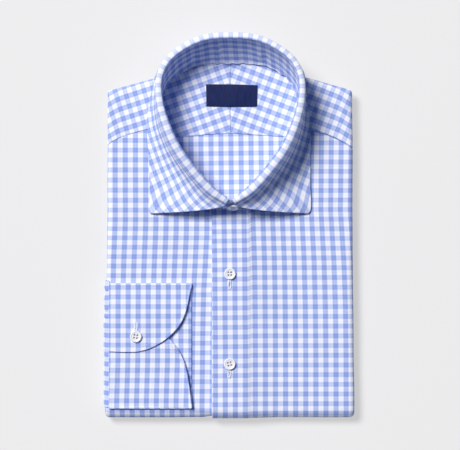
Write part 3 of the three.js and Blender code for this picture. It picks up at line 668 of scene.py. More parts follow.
def outer_yoke(name, node, sign):
    """Half of the outer yoke over its shoulder fold, sewn to the front along its lower edge."""
    flat = yoke_flat(sign)
    x, y = flat[..., 0], flat[..., 1]
    seam = np.interp(x, SEAM_X, SEAM_Y)
    relief = creased(x, y, YOKE_CREASES[sign]) + uneven(x, y, 0.06, 3.3 + sign)
    relief = relief + puckered(x, y - seam, 0.1) * (np.abs(x) > 56)
    bend = 2.2 * ease(np.abs(x), 96, 112) ** 2
    uv = turned_check(x, y + bend, **YOKE_CHECKS[sign])
    return lay_over(name, node, x, y, 0, CLOTH, relief, uv)


# Half the inner yoke's outline from the seam with the back to the centre back
LINING_OUTLINE = [
    (62, LINING_SEAM_SIDE),
    (66, 104),
    (66, 117),
    (60, 131),
    (45, 140),
    (29, 147.6),
    (16, 149),
    (0.15, 149.2),
]
# How far up the centre seam the lines of the inner yoke begin, along its whole length
LINING_DEPTH = 58
LINING_CREASES = {
    -1: [(-50, 118, -24, 136, 3, 0.3), (-20, 148, -12, 132, 2.4, 0.4), (-56, 92, -26, 98, 4, 0.35)],
    1: [
        (14, 149, 11, 136, 1.8, 0.55),
        (24, 147, 18, 134, 2.4, 0.4),
        (40, 142, 30, 131, 2.4, 0.4),
        (58, 96, 40, 91, 2.6, 0.5),
        (60, 112, 44, 100, 3.2, 0.4),
    ],
}


def yoke_lining(name, node, sign):
    """Half of the inner yoke, flat inside the neck: lines from the centre seam to the outline, the first
    along the seam with the back and the last at the centre back."""
    outline = np.array(LINING_OUTLINE)
    lengths = lengths_along(outline, 0)
    places = spaced(0, lengths[-1], 2.2)
    ends = np.stack([np.interp(places, lengths, outline[:, k]) for k in (0, 1)], -1)
    seam_y = LINING_SEAM_CENTRE + LINING_DEPTH * places / lengths[-1]
    starts = np.stack([np.full(len(places), 0.07), seam_y], -1)
    flat = starts[:, None] + (ends - starts)[:, None] * shares_of(60, 2)[None, :, None]
    x = NECK_CENTRE_X + sign * flat[..., 0]
    y = flat[..., 1]
    relief = uneven(x, y, 0.08, 5.1) + puckered(y, flat[..., 0], 0.14, 8.4)
    relief = relief + creased(x, y, LINING_CREASES[sign])
    back_seam = np.interp(flat[..., 0], [0, 62], [LINING_SEAM_CENTRE, LINING_SEAM_SIDE])
    relief = relief + puckered(x, y - back_seam, 0.08)
    height = INSIDE_BOTTOM + CLOTH / 2
    middle = np.stack([x, y, np.full(x.shape, height)], -1)
    upper, lower = upper_first(about_middle(middle, CLOTH))
    beside_x = np.abs(x - LABEL_MIDDLE[0]) - LABEL_CLEAR[0]
    beside = np.maximum(beside_x, np.abs(y - LABEL_MIDDLE[1]) - LABEL_CLEAR[1])
    most = SEAM_GAP * 0.7 + 0.5 * ease(beside, 0, 4)
    lifted = np.clip(relief, -0.25, most)[..., None] * np.array([0, 0, 1.0])
    uv = turned_check(x, y, **LINING_CHECKS[sign])
    return make_cloth(name, node, upper + lifted, lower + lifted, uv, "laid", ["folded_layers"])


def inner_back():
    """The inner face of the back below the yoke, narrowing to the front meeting of the collar."""
    side_y = LINING_SEAM_SIDE - SEAM_GAP
    half_y = [12, 12.5, 22, 44, 66, side_y]
    half_x = [11.6, 12.5, 25, 42, 56, 62]
    shares = 2 * shares_of(124, 2.2) - 1
    down = shares_of(72, 2.1)
    top = np.interp(np.abs(shares), [0, 1], [LINING_SEAM_CENTRE - SEAM_GAP, side_y])
    y = top[:, None] + (12 - top[:, None]) * down[None]
    x = NECK_CENTRE_X + shares[:, None] * np.interp(y, half_y, half_x)
    relief = uneven(x, y, 0.07, 7.7) + puckered(x, top[:, None] - y, 0.12)
    middle = np.stack([x, y, INSIDE_BOTTOM + CLOTH / 2 + np.minimum(relief, 0.2)], -1)
    upper, lower = upper_first(about_middle(middle, CLOTH))
    uv = straight_check(x, y, -3.2 + 0.01 * (70 - y), 0.6 + 0.012 * x)
    return make_cloth("inner_back", "back_panel", upper, lower, uv, "laid", ["folded_layers"])


# The collar


def neck_frames(t):
    """The collar's cross section at each place t round the neck: where the roll starts, the foot, the
    direction up the stand made square to the neck's line, and the direction outwards square to both."""
    left = [(-1, row, 0) for row in COLLAR]
    right = [(1, row, row[5]) for row in COLLAR[-2::-1]]
    stations = left + right

    def placed(column):
        tucks = np.array([tuck if column == 2 else 0 for _, _, tuck in stations])
        rows = np.array([row[column] for _, row, _ in stations], float)
        signs = np.array([sign for sign, _, _ in stations])
        rows[:, 0] = NECK_CENTRE_X + signs * (rows[:, 0] - tucks)
        return rows

    ridges, feet, edges = placed(0), placed(1), placed(2)
    ahead = catmull_rom(ridges, np.minimum(t + 0.004, 1))
    behind = catmull_rom(ridges, np.maximum(t - 0.004, 0))
    along = unit((ahead - behind) * np.array([1, 1, 0]))
    outwards = np.stack([-along[:, 1], along[:, 0], np.zeros(len(t))], -1)
    start = catmull_rom(ridges, t) + outwards * (LEAF_CLOTH / 2)
    start[:, 2] -= LEAF_CLOTH / 2 + ROLL_RADIUS
    sole = catmull_rom(feet, t)
    up = start - sole
    up = unit(up - along * np.sum(up * along, axis=1, keepdims=True))
    away = -np.cross(along, up)
    away = away * np.sign(np.sum(away * outwards, axis=1, keepdims=True))
    place = t * (len(stations) - 1)
    lay = np.interp(place, np.arange(len(stations)), [row[3] for _, row, _ in stations])
    flat = np.interp(place, np.arange(len(stations)), [row[4] for _, row, _ in stations])
    return start, sole, up, away, catmull_rom(edges, t), lay, flat


def leaf_middle(t, q):
    """The leaf's middle surface. For q from 0 to a quarter it is half an ellipse over the ridge, as high as
    the roll's radius and wider than that, and it starts a little inside the stand's upper edge. Beyond that
    it is a cubic Bezier curve from the roll down to the leaf's free edge."""
    start, _, up, away, edge, lay, flat = neck_frames(t)
    turn = np.pi * np.clip(q / 0.25, 0, 1)[None, :, None]
    from_back = np.abs(t - 0.5)
    lap = (1.5 - 0.7 * ease(from_back, 0.1, 0.25) - 0.8 * ease(from_back, 0.38, 0.48))[:, None]
    wide = CROWN_BACK - 0.5 * ease(from_back, 0.05, 0.15)
    wide = wide + (CROWN_SIDE - CROWN_BACK) * ease(from_back, 0.2, 0.36)
    wide = (wide * (1 - 0.85 * ease(from_back, 0.43, 0.5)))[:, None]
    half = ROLL_RADIUS + (wide + lap) / 2
    centre = (start + away * (half - lap))[:, None]
    roll = centre - away[:, None] * (half[:, None] * np.cos(turn))
    roll = roll + up[:, None] * (ROLL_RADIUS * np.sin(turn))
    crest = start + (2 * ROLL_RADIUS + wide) * away
    fall = (crest[:, 2] - edge[:, 2])[:, None]
    lying = unit((edge - crest) * np.array([1, 1, 0]))
    lying[:, 2] = -0.05
    landing = unit(np.array([0, 0, -1.0]) * (1 - lay[:, None]) + lying * lay[:, None])
    second = crest - up * LEAF_FALL * fall
    third = edge - landing * flat[:, None]
    s = np.clip((q - 0.25) / 0.75, 0, 1)[None, :, None]
    out, into = 3 * (second - crest), 3 * (edge - third)
    drop = cubic(crest[:, None], edge[:, None], out[:, None], into[:, None], s)
    return np.where((q <= 0.25)[None, :, None], roll, drop)


def laid_flat(grid, rounds=2500):
    """Lays a grid of points flat with its lengths kept. The first guess steps along each line by its real
    length at its real angle to the neck's line. Then each pair of neighbours, across corners too, is moved
    a little towards its real distance, over and over."""
    along = unit(np.gradient(grid, axis=0))
    steps = np.diff(grid, axis=1)
    length = np.linalg.norm(steps, axis=-1)
    lean = np.clip(np.sum(unit(steps) * along[:, :-1], axis=-1), -0.95, 0.95)
    flat = np.zeros(grid.shape[:2] + (2,))
    flat[..., 0] = lengths_along(grid[:, :1], 0)
    flat[:, 1:, 0] += np.cumsum(length * lean, axis=1)
    flat[:, 1:, 1] += np.cumsum(length * np.sqrt(1 - lean**2), axis=1)
    pairs = [
        ((slice(0, -1), slice(None)), (slice(1, None), slice(None))),
        ((slice(None), slice(0, -1)), (slice(None), slice(1, None))),
        ((slice(0, -1), slice(0, -1)), (slice(1, None), slice(1, None))),
        ((slice(0, -1), slice(1, None)), (slice(1, None), slice(0, -1))),
    ]
    real = [np.linalg.norm(grid[b] - grid[a], axis=-1, keepdims=True) for a, b in pairs]
    for _ in range(rounds):
        move = np.zeros(flat.shape)
        for (a, b), wanted in zip(pairs, real):
            gap = flat[b] - flat[a]
            size = np.maximum(np.linalg.norm(gap, axis=-1, keepdims=True), 1e-6)
            pull = 0.5 * (1 - wanted / size) * gap
            move[a] += pull
            move[b] -= pull
        flat = flat + move * 0.3
    return flat


def leaf_check(t, q):
    """Check coordinates on the leaf, measured on the leaf laid flat: the distance from a smooth arc, a
    polynomial of the fourth degree fitted to the ridge line, and the length along that arc to the nearest
    point. Near the ridge the distance is counted from the ridge itself, and each row is then evened out
    with its two neighbours, a quarter of each and half of its own, a few times."""
    coarse_t = np.linspace(0, 1, 61)
    coarse_q = np.concatenate([np.linspace(0, 0.25, 5), np.linspace(0.25, 1, 13)[1:]])
    flat = laid_flat(leaf_middle(coarse_t, coarse_q))
    ridge_line = flat[:, 2]
    arc_x = np.linspace(ridge_line[0, 0], ridge_line[-1, 0], 900)
    arc = np.polynomial.Polynomial.fit(ridge_line[:, 0], ridge_line[:, 1], 4)
    line = np.stack([arc_x, arc(arc_x)], -1)
    run = lengths_along(line, 0)
    tangent = unit(np.gradient(line, axis=0))
    normal = np.stack([-tangent[:, 1], tangent[:, 0]], -1)
    points = flat.reshape(-1, 2)
    nearest = np.argmin(np.sum((points[:, None] - line[None]) ** 2, axis=-1), axis=1)
    gap = points - line[nearest]
    u = np.sum(gap * normal[nearest], axis=1)
    v = run[nearest] + np.sum(gap * tangent[nearest], axis=1) - run[-1] / 2
    check = np.stack([u, v], -1).reshape(flat.shape)
    check[..., 0] -= check[:, 2:3, 0] * bell(check[..., 0], 14)
    for _ in range(8):
        check[1:-1] = (check[:-2] + 2 * check[1:-1] + check[2:]) / 4
    by_row = smooth_through(t, coarse_t, check)
    return np.moveaxis(smooth_through(q, coarse_q, np.moveaxis(by_row, 1, 0)), 0, 1)


# The leaf's check: how far down from the ridge a warp stripe's middle lies, and the weft's place at the back
LEAF_STRIPE = 4.8
LEAF_WEFT = 0.4
# How much closer the stripes lie on the leaf than on the fronts, and how far they are spread near the
# ridge, where the pressed roll is rounder than it is wide
LEAF_CROWD = 1.21
RIDGE_SPREAD = 0.85
# How far the leaf's two front edges bow out between the meeting and the points, how far they rise off the
# fronts, and how far the two ends of the ridge reach towards each other
FRONT_BOW = 3.4
FRONT_LIFT = 6.0
RIDGE_REACH = 1.7
# How much further out the right point reaches than the lines to it give
TIP_REACH = 2.0
# How far in from its edge the leaf is stitched
LEAF_STITCH = 5.5


def collar_leaf():
    """The leaf, up from the stand, over the roll and down to its points, slightly puckered where it is top
    stitched near its edge."""
    t = shares_of(400, 2.2)
    q = np.concatenate([np.linspace(0, 0.25, 13), 0.25 + 0.75 * shares_of(52, 1.6, False)[1:]])
    middle = leaf_middle(t, q)
    run = lengths_along(middle, 0)
    fallen = np.clip((q - 0.25) / 0.75, 0, 1)
    swell = FRONT_BOW * np.sin(np.pi * fallen**0.8) + RIDGE_REACH * bell(fallen, 0.25)
    for end, beside, run_from in ((0, 1, run), (-1, -2, run[-1:] - run)):
        ahead = unit(middle[end] - middle[beside])
        fade = np.clip(1 - run_from / 45, 0, 1) ** 2
        middle = middle + ahead[None] * (swell[None] * fade)[..., None]
        middle[..., 2] += FRONT_LIFT * np.sin(np.pi * fallen**1.2)[None] * fade
    down = lengths_along(middle, 0)
    across = lengths_along(middle, 1)
    from_end = np.minimum(down, down[-1:] - down)
    from_edge = across[:, -1:] - across
    corner = np.clip(1 - from_end / 2.2, 0, 1) * np.clip(1 - from_edge / 2.2, 0, 1)
    outward = unit(middle[:, -1:] - middle[:, -12:-11])
    tip = TIP_REACH * np.clip(1 - down / 10, 0, 1) ** 1.5 * np.clip(1 - from_edge / 14, 0, 1) ** 2
    middle = middle + outward * (tip - corner * 0.8)[..., None]
    near_edge = puckered(down, from_edge - LEAF_STITCH, 0.07, 6.1)
    soft = 0.12 * np.sin(down / 13 + 1) * ease(across, 8, 25) * ease(from_edge, 1, 12)
    outer, inner = about_middle(middle, LEAF_CLOTH, near_edge + soft)
    check = leaf_check(t, q)
    below = check[..., 0] * LEAF_CROWD - RIDGE_SPREAD * np.tanh(check[..., 0] / 3.0)
    uv = np.stack([below - LEAF_STRIPE, check[..., 1] - LEAF_WEFT], -1)
    return make_cloth("leaf", "collar_leaf", outer, inner, uv, "folded", ["collar_stand", "over_front"])


# Small creases pressed into the stand's inner face, by length round the neck from the centre back and
# share of its height: place, low and high share, half width and depth
STAND_CREASES = [
    (-8, 0.0, 0.9, 1.8, 1.0),
    (-3.5, 0.0, 0.9, 1.8, -0.8),
    (-30, 0.0, 0.6, 2.6, -0.9),
    (-36, 0.1, 0.7, 2.4, 0.7),
    (-52, 0.1, 0.7, 3, 0.6),
    (31, 0.0, 0.8, 2.2, 1.0),
    (37, 0.0, 0.6, 2.2, -1.0),
    (43, 0.0, 0.6, 2.0, 0.8),
    (57, 0.1, 0.8, 3, 0.6),
    (15, 0.0, 0.5, 2.4, -0.6),
]
# The stand's check: a warp stripe's place under the upper edge, and how much closer the stripes lie
STAND_STRIPE = 1.4
STAND_CROWD = 1.13
# Where its lengths round the neck are counted from, near the centre back, as a share of the way round
STAND_ZERO = 0.4833


# The tab that laps over at the front: x from the neck's middle, y of the foot, and y and z of its upper edge
STAND_TAB = [
    (-1.2, 15.6, 22.9, 38),
    (-2.5, 15.6, 22.4, 37),
    (-5, 15.8, 21.8, 35.4),
    (-7.2, 15.9, 21.4, 33.6),
    (-8, 15.9, 21.2, 33),
]
# Where the end under the tab is drawn to: its foot, its upper edge and how many rows of points move
STAND_END_FOOT = (NECK_CENTRE_X - 3.4, 20.4)
STAND_END_TOP = (NECK_CENTRE_X - 3, 25.6, 39.5)
STAND_END_ROWS = 12


def collar_stand():
    """The stand: lines from its foot up to just under the roll, bowed out by a half sine. At the wearer's
    left it ends in the tab that laps over, and at the right it stops short under it."""
    t = shares_of(330, 2.2)
    start, sole, up, away, _, _, _ = neck_frames(t)
    top = start - up * (STAND_BELOW_RIDGE - LEAF_CLOTH / 2 - ROLL_RADIUS)
    tab_sole = np.array([[NECK_CENTRE_X + x, foot_y, sole[-1, 2]] for x, foot_y, _, _ in STAND_TAB])
    tab_top = np.array([[NECK_CENTRE_X + x, top_y, top_z] for x, _, top_y, top_z in STAND_TAB])
    sole = np.vstack([sole, tab_sole])
    top = np.vstack([top, tab_top])
    away = np.vstack([away, np.repeat([[0, -0.9, 0.3]], len(STAND_TAB), axis=0)])
    rows = STAND_END_ROWS
    first = np.clip(1 - t[:rows] / t[rows - 1], 0, 1)[:, None] ** 2
    sole[:rows] += first * (np.array([*STAND_END_FOOT, sole[0, 2]]) - sole[0])
    top[:rows] += first * (np.array(STAND_END_TOP) - top[0])
    q = shares_of(36, 1.4)
    middle = sole[:, None] + (top - sole)[:, None] * q[None, :, None]
    middle = middle + away[:, None] * (STAND_BOW * np.sin(np.pi * q))[None, :, None]
    round_neck = lengths_along(middle, 0)
    round_neck = round_neck - round_neck[np.argmin(np.abs(t - STAND_ZERO))][None]
    height = lengths_along(middle, 1)
    relief = 0.18 * np.sin(round_neck / 9.3 + height / 6)
    for place, low, high, width, depth in STAND_CREASES:
        fade = bell(q - (low + high) / 2, (high - low) * 0.42)[None]
        lean = 2.5 * np.sin(3 * q)[None]
        relief = relief + depth * bell(round_neck - place - lean, width) * fade
    relief = relief + 0.35 * np.sin(2 * np.pi * round_neck / 8.7) * bell(height, 3.2)
    lip = 1.0 + 0.45 * np.sin(round_neck / 1.6) + 0.3 * np.sin(round_neck / 3.7)
    relief = relief + lip * bell(height, 1.6)
    relief = relief * ease(24 - np.abs(middle[..., 0] - NECK_CENTRE_X) * (middle[..., 1] < 40), 0, 12)
    outer, inner = about_middle(middle, STAND_CLOTH, relief)
    sway = (0.6 * np.sin(round_neck / 6.5 + 0.6) + 0.35 * np.sin(round_neck / 2.9)) * np.sin(np.pi * q)[None]
    uv = np.stack([(height[:, -1:] - height) * STAND_CROWD + STAND_STRIPE + sway, round_neck - 2.0], -1)
    return make_cloth("stand", "collar_stand", outer, inner, uv, "laid", ["over_front", "under_front"])


# The cuff and the sleeve's end


CUFF_CREASES = [
    (-104, -70, -60, -64, 5, 0.22),
    (-98, -92, -58, -86, 5, 0.2),
    (-108, -130, -70, -136, 5, 0.22),
    (-104, -152, -62, -158, 5, 0.2),
]
# How far in from its edges the cuff is stitched
CUFF_STITCH = 5.0
CUFF_TURNS = [0.05, 0.3, 0.7, 0.95]
CUFF_DRIFT_X = [3.65, 6, 6, 2.6]
CUFF_DRIFT_Y = [1.1, -4, -4, 3]


def cuff_band():
    """The cuff: one band whose path starts at the upper flap's edge, goes over the top fold, down the back
    layer, round the bottom fold and up to the lower flap's edge under the upper flap."""
    x = spaced(CUFF_X[0], CUFF_X[-1], 1.3)
    upper = smooth_through(x, CUFF_X, CUFF_UPPER)[:, None]
    lower = smooth_through(x, CUFF_X, CUFF_LOWER)[:, None]
    front = CUFF_BACK + CUFF_STEP
    bend = CUFF_STEP / 2
    top_centre = CUFF_TOP_FOLD - bend - CUFF_CLOTH / 2
    bottom_centre = CUFF_BOTTOM_FOLD + bend + CUFF_CLOTH / 2
    lip = shares_of(60, 1.5, True, False)[None]
    up_y = upper + (top_centre - 0.4 - upper) * lip
    up_z = front + CUFF_STEP * ease(-up_y, 58, 82)
    turn = np.linspace(np.pi / 2, -np.pi / 2, 11)[None] + 0 * x[:, None]
    top_y = top_centre + bend * np.cos(turn)
    top_z = CUFF_BACK + bend + bend * np.sin(turn)
    back_y = np.linspace(top_centre, bottom_centre, 62)[None, 1:-1] + 0 * x[:, None]
    back_z = np.full(back_y.shape, CUFF_BACK)
    turn = np.linspace(-np.pi / 2, -1.5 * np.pi, 11)[None] + 0 * x[:, None]
    low_y = bottom_centre + bend * np.cos(turn)
    low_z = CUFF_BACK + bend + bend * np.sin(turn)
    down_y = bottom_centre + (lower - bottom_centre) * (1 - lip[:, ::-1][:, :-1])
    down_z = np.full(down_y.shape, front)
    y = np.hstack([up_y, top_y, back_y, low_y, down_y])
    z = np.hstack([up_z, top_z, back_z, low_z, down_z])
    wide = np.repeat(x[:, None], y.shape[1], axis=1)
    middle = np.stack([wide, y, z], -1)
    upper_part = np.arange(y.shape[1]) < up_y.shape[1]
    lower_part = np.arange(y.shape[1]) >= y.shape[1] - down_y.shape[1]
    soft = creased(wide, y, CUFF_CREASES) + uneven(wide, y, 0.05, 6.2)
    edge = np.where(upper_part, y - upper, np.where(lower_part, lower - y, 99))
    soft = soft + puckered(wide, edge - CUFF_STITCH, 0.06, 6.3)
    soft = soft + puckered(y, wide - CUFF_X[-1] + CUFF_STITCH, 0.05, 6.3)
    lift = np.where(upper_part | lower_part, 1, 0) * np.clip(soft, -0.25, 0.6)
    curl = bell(edge, 4.5)
    lift = lift + upper_part * (0.4 + 0.5 * ease(wide, -78, -46)) * curl
    lift = lift + lower_part * 2.6 * curl * ease(upper - y, 0, 8)
    middle = middle + lift[..., None] * np.array([0, 0, 1.0])
    outer, inner = about_middle(middle, CUFF_CLOTH)
    before = up_y.shape[1] + top_y.shape[1]
    along_back = (np.arange(y.shape[1]) - before) / (back_y.shape[1] - 1)
    lower_x = np.interp(y, [-160, -125], [-0.6, 0.6]) - (wide + 80) * 0.012
    drift_x = np.interp(along_back, CUFF_TURNS, CUFF_DRIFT_X)[None] + lower_part * lower_x
    lower_y = np.interp(y, [-155, -130], [0, 1.6])
    drift_y = np.interp(along_back, CUFF_TURNS, CUFF_DRIFT_Y)[None] + lower_part * lower_y
    uv = straight_check(wide, y, drift_x, drift_y)
    return make_cloth("cuff", "cuff_right", outer, inner, uv, "folded", ["under_front"])


def sleeve_end():
    """The sleeve's end from the cuff over the packet's side and down it: a quarter circle and more about
    the side fold, then down, with the gathers standing out along it."""
    y = spaced(SLEEVE_Y[0], SLEEVE_Y[-1], 0.9)
    bulge = smooth_through(-y, [-v for v in SLEEVE_Y], SLEEVE_BULGE)
    bulge = bulge + 0.3 * np.sin(y / 1.9) * ease(y, -108, -96) + 0.16 * np.sin(y / 3.1 + 1)
    for place, width, depth in SLEEVE_GROOVES:
        bulge = bulge - depth * bell(y - place, width)
    centre_x = side_x(y, -1) + EDGE_RADIUS
    centre_z = PACKET_HEIGHT - EDGE_RADIUS
    out_x = SLEEVE_RADIUS + np.maximum(bulge * 0.8, -0.6)
    out_z = SLEEVE_RADIUS + np.maximum(bulge * 0.6, -0.6)
    first = np.arcsin(np.clip((centre_x - SLEEVE_START_X) / out_x, -1, 1))
    turn = first[:, None] + (np.pi / 2 - first[:, None]) * shares_of(8, 0.5, True, False)[None]
    x = centre_x[:, None] - out_x[:, None] * np.sin(turn)
    z = centre_z + out_z[:, None] * np.cos(turn)
    low_z = np.array(SLEEVE_LOW_Z)
    low_in = np.array(SLEEVE_LOW_IN)
    wave = 0.25 * np.sin(y[:, None] / 3.7 + low_z[None] / 2)
    low_x = (centre_x - out_x)[:, None] + low_in[None] + wave * ease(12 - low_z, 0, 4)[None]
    x = np.hstack([x, low_x])
    z = np.hstack([z, np.repeat(low_z[None], len(y), axis=0)])
    middle = np.stack([x, np.repeat(y[:, None], x.shape[1], axis=1), z], -1)
    outer, inner = about_middle(middle, SLEEVE_CLOTH)
    across = lengths_along(middle, 1)
    down = lengths_along(middle, 0)
    uv = np.stack([down * 1.04 + 1.5, across - 2.8], -1)
    faces = (outer, inner) if np.mean(outer[..., 0]) < np.mean(inner[..., 0]) else (inner, outer)
    return make_cloth("sleeve", "sleeve_right", *faces, uv, "gathered", ["under_front"])


# The hidden layers


# Layers that show round the sides from the surface up: height of the crest, half thickness, inset of the
# crest at the sides, and its inset under the shoulders
LAYERS = [
    (0.75, 0.75, 1.1, 8.0),
    (2.15, 0.65, 1.5, 8.3),
    (3.5, 0.7, 1.3, 10.0),
    (4.85, 0.65, 1.7, 10.3),
    (6.2, 0.7, 1.5, 7.4),
    (7.5, 0.6, 1.9, 7.6),
]
UPPER_Z = [8.2, 9.6, 10.6, 12.2, INSIDE_BOTTOM - SEAM_GAP]
UPPER_SIDE = [3.2, 2.9, 2.2, 1.6, 2.1]
UPPER_TOP = [5, 3.6, 2.5, 1.9, 2.3]
BOTTOM_Z = [0, 3.3, 4.2, 5, 5.5, 6, 7, 7.8, 8.2, 9.6, 10.6, 12.2, INSIDE_BOTTOM - SEAM_GAP]
BOTTOM_INSET = [9.2, 9.2, 6.8, 5.6, 5, 4.6, 4.2, 4, 3.9, 3.6, 3.5, 4.3, 5.5]


def layer_profile():
    """Height and insets of the packet's rings. Each layer's edge is a half round, its inset growing as
    1.7 (1 − √(1 − (h / half)²)) from its crest, and the layers meet in narrow creases."""
    heights, side, top, number = [], [], [], []
    for k, (crest, half, inset, shoulder) in enumerate(LAYERS):
        h = np.sin(np.linspace(-np.pi / 2, np.pi / 2, 9))
        drawn = 1.7 * (1 - np.sqrt(np.clip(1 - (h * 0.98) ** 2, 0, 1)))
        heights.append(crest + half * h)
        side.append(inset + drawn)
        top.append(shoulder + drawn)
        number.append(np.full(9, k))
    heights.append(np.array(UPPER_Z))
    side.append(np.array(UPPER_SIDE))
    top.append(np.array(UPPER_TOP))
    number.append(np.full(len(UPPER_Z), len(LAYERS)))
    z = np.concatenate(heights)
    keep = np.insert(np.diff(z) > 0.01, 0, True)
    return z[keep], np.concatenate(side)[keep], np.concatenate(top)[keep], np.concatenate(number)[keep]


# Points on a ring across the shoulders, down each side and along the bottom fold, and the ring's middle
PACKET_POINTS = (110, 130, 80)
PACKET_MIDDLE = np.array([1.0, -10.0])
# Where the sides end at the top, how far the shoulders' tips are cut off, and the same at the bottom
SIDE_TOP_Y = 120
SHOULDER_TIP = 2.6
BOTTOM_TIP = 4.8
# How far in towards the middle the rings that close it lie
INNER_RINGS = np.array([0.06, 0.2, 0.4, 0.6, 0.8, 0.97])


def packet_rings(side, top, bottom):
    """The packet's outline at each height, drawn in by its insets at the sides, shoulders and bottom: the
    shoulders from right to left, down the left side, along the bottom fold and up the right side."""
    across, down, low = (np.linspace(0, 1, count) for count in PACKET_POINTS)
    turn_y = BOTTOM_FOLD_Y + 0.4
    ends = [side_x(SIDE_TOP_Y, sign) - sign * side for sign in (-1, 1)]
    wide = ends[1] - ends[0] - 2 * SHOULDER_TIP
    x = (ends[0] + SHOULDER_TIP)[:, None] + wide[:, None] * across[::-1]
    shoulders = np.stack([x, np.interp(x, SHOULDER_X, SHOULDER_Y) - top[:, None]], -1)
    sides = []
    for sign, end, column in ((-1, ends[0], -1), (1, ends[1], 0)):
        start = (shoulders[:, column, 1] - SHOULDER_TIP)[:, None]
        y = start + (turn_y - start) * down
        x = side_x(y, sign) - sign * side[:, None]
        x[:, 0] = end
        sides.append(np.stack([x, y], -1))
    low_y = np.minimum(BOTTOM_FOLD_Y - FOLD_RADIUS + bottom, turn_y - 0.2)[:, None]
    from_x, to_x = side_x(turn_y, -1) + BOTTOM_TIP, side_x(turn_y, 1) - BOTTOM_TIP
    x = from_x + (to_x - from_x) * low + 0 * low_y
    fold = np.stack([x, low_y + 0 * x], -1)
    return np.concatenate([shoulders, sides[0], fold, sides[1][:, ::-1]], axis=1)


def packet():
    """Everything that the folding hides: rings of the packet's outline drawn in by the layers' profile,
    each layer's edge a little wavy, closed above and below by rings drawn towards the middle."""
    z, side, top, number = layer_profile()
    z = z - z[0]
    z = z * (INSIDE_BOTTOM - SEAM_GAP) / z[-1]
    ring = packet_rings(side, top, np.interp(z, BOTTOM_Z, BOTTOM_INSET))
    count = ring.shape[1]
    run = (np.arange(count) % (count - 1) * 0.52)[None]
    wavy = 0.32 * np.sin(run / 5.1 + number[:, None] * 1.9) + 0.2 * np.sin(run / 2.3 + number[:, None] * 4.1)
    wavy = np.maximum(wavy * (number[:, None] < len(LAYERS)), -0.35)
    ring = ring + unit(PACKET_MIDDLE - ring) * wavy[..., None]
    rings = np.concatenate([ring, np.repeat(z[:, None, None], count, axis=1)], axis=-1)
    shares = INNER_RINGS[:, None, None]
    middle = [np.append(PACKET_MIDDLE, height) for height in (z[0], z[-1])]
    lower = rings[0] * (1 - shares) + middle[0] * shares
    upper = rings[-1] * (1 - shares) + middle[1] * shares
    lower[..., 2] += underside_relief(lower[..., 0], lower[..., 1])
    grid = np.concatenate([lower[::-1], rings, upper])
    flat = len(INNER_RINGS)
    climb = lengths_along(grid, 0)
    uv = grid[..., :2] + np.array([-2.0, 1.0])
    uv[flat:-flat, :, 0] = lengths_along(ring[10], 0)[None] + number[:, None] * 3.1
    uv[flat:-flat, :, 1] = (climb - climb[flat])[flat:-flat]
    made = make_mesh("packet", grid.reshape(-1, 3), ring_quads(len(grid), count), uv.reshape(-1, 2))
    dress(made, "gingham_cotton", "folded_layers")


def underside_relief(x, y):
    """Shallow hollows of the folds on the underside, into the packet: the edges of the turned in sides."""
    lines = bell(x + 38, 1.6) + bell(x - 42, 1.6) + 0.8 * bell(y + 30, 1.6)
    return 0.5 * lines


# Label, buttons and sewing


def neck_label():
    """The label: a flat woven tab between its four corners, its ends turned under, rising a little in the
    middle as 1 − p⁴ both ways."""
    corners = np.array(LABEL_CORNERS, float)
    across = shares_of(47, 0.9)[:, None, None]
    up = shares_of(20, 0.9)[None, :, None]
    low = corners[0] * (1 - across) + corners[1] * across
    high = corners[3] * (1 - across) + corners[2] * across
    flat = low * (1 - up) + high * up
    p = 2 * across[..., 0] - 1
    q = 2 * up[..., 0] - 1
    crown = 0.28 * (1 - p**4) * (1 - q**4) + 0.1 * np.sin(flat[..., 0] / 4.3) * (1 - q**4)
    bow = 0.35 * np.sin(np.pi * across[..., 0]) * q
    height = INSIDE_TOP + SEAM_GAP + LABEL_THICK / 2 + crown
    middle = np.stack([flat[..., 0], flat[..., 1] + bow, height], -1)
    upper, lower = upper_first(about_middle(middle, LABEL_THICK))
    rests = ["yoke_lining_left", "yoke_lining_right"]
    return make_cloth("label", "neck_label", upper, lower, flat, "laid", rests, "label_satin")


def turned_place(points, lean, turn, at):
    """Points turned about Z, leant about X and moved to their place."""
    a, b = math.radians(turn), math.radians(lean)
    spin = np.array([[math.cos(a), -math.sin(a), 0], [math.sin(a), math.cos(a), 0], [0, 0, 1]])
    tip = np.array([[1, 0, 0], [0, math.cos(b), -math.sin(b)], [0, math.sin(b), math.cos(b)]])
    return points @ (tip @ spin).T + np.array(at)


# A button's rim from the sunk face over the edge to the middle of the back: radius and height
FACE_RADIUS = 3.35
BUTTON_RIM = np.array(
    [
        (3.5, 1.56),
        (3.7, 1.62),
        (3.95, 1.74),
        (4.2, 1.84),
        (4.5, 1.9),
        (4.8, 1.88),
        (5.05, 1.8),
        (5.22, 1.68),
        (5.32, 1.5),
        (5.35, 1.3),
        (5.35, 0.8),
        (5.3, 0.5),
        (5.15, 0.25),
        (4.85, 0.05),
        (4.55, 0),
        (2.5, 0),
        (0.06, 0),
    ]
)


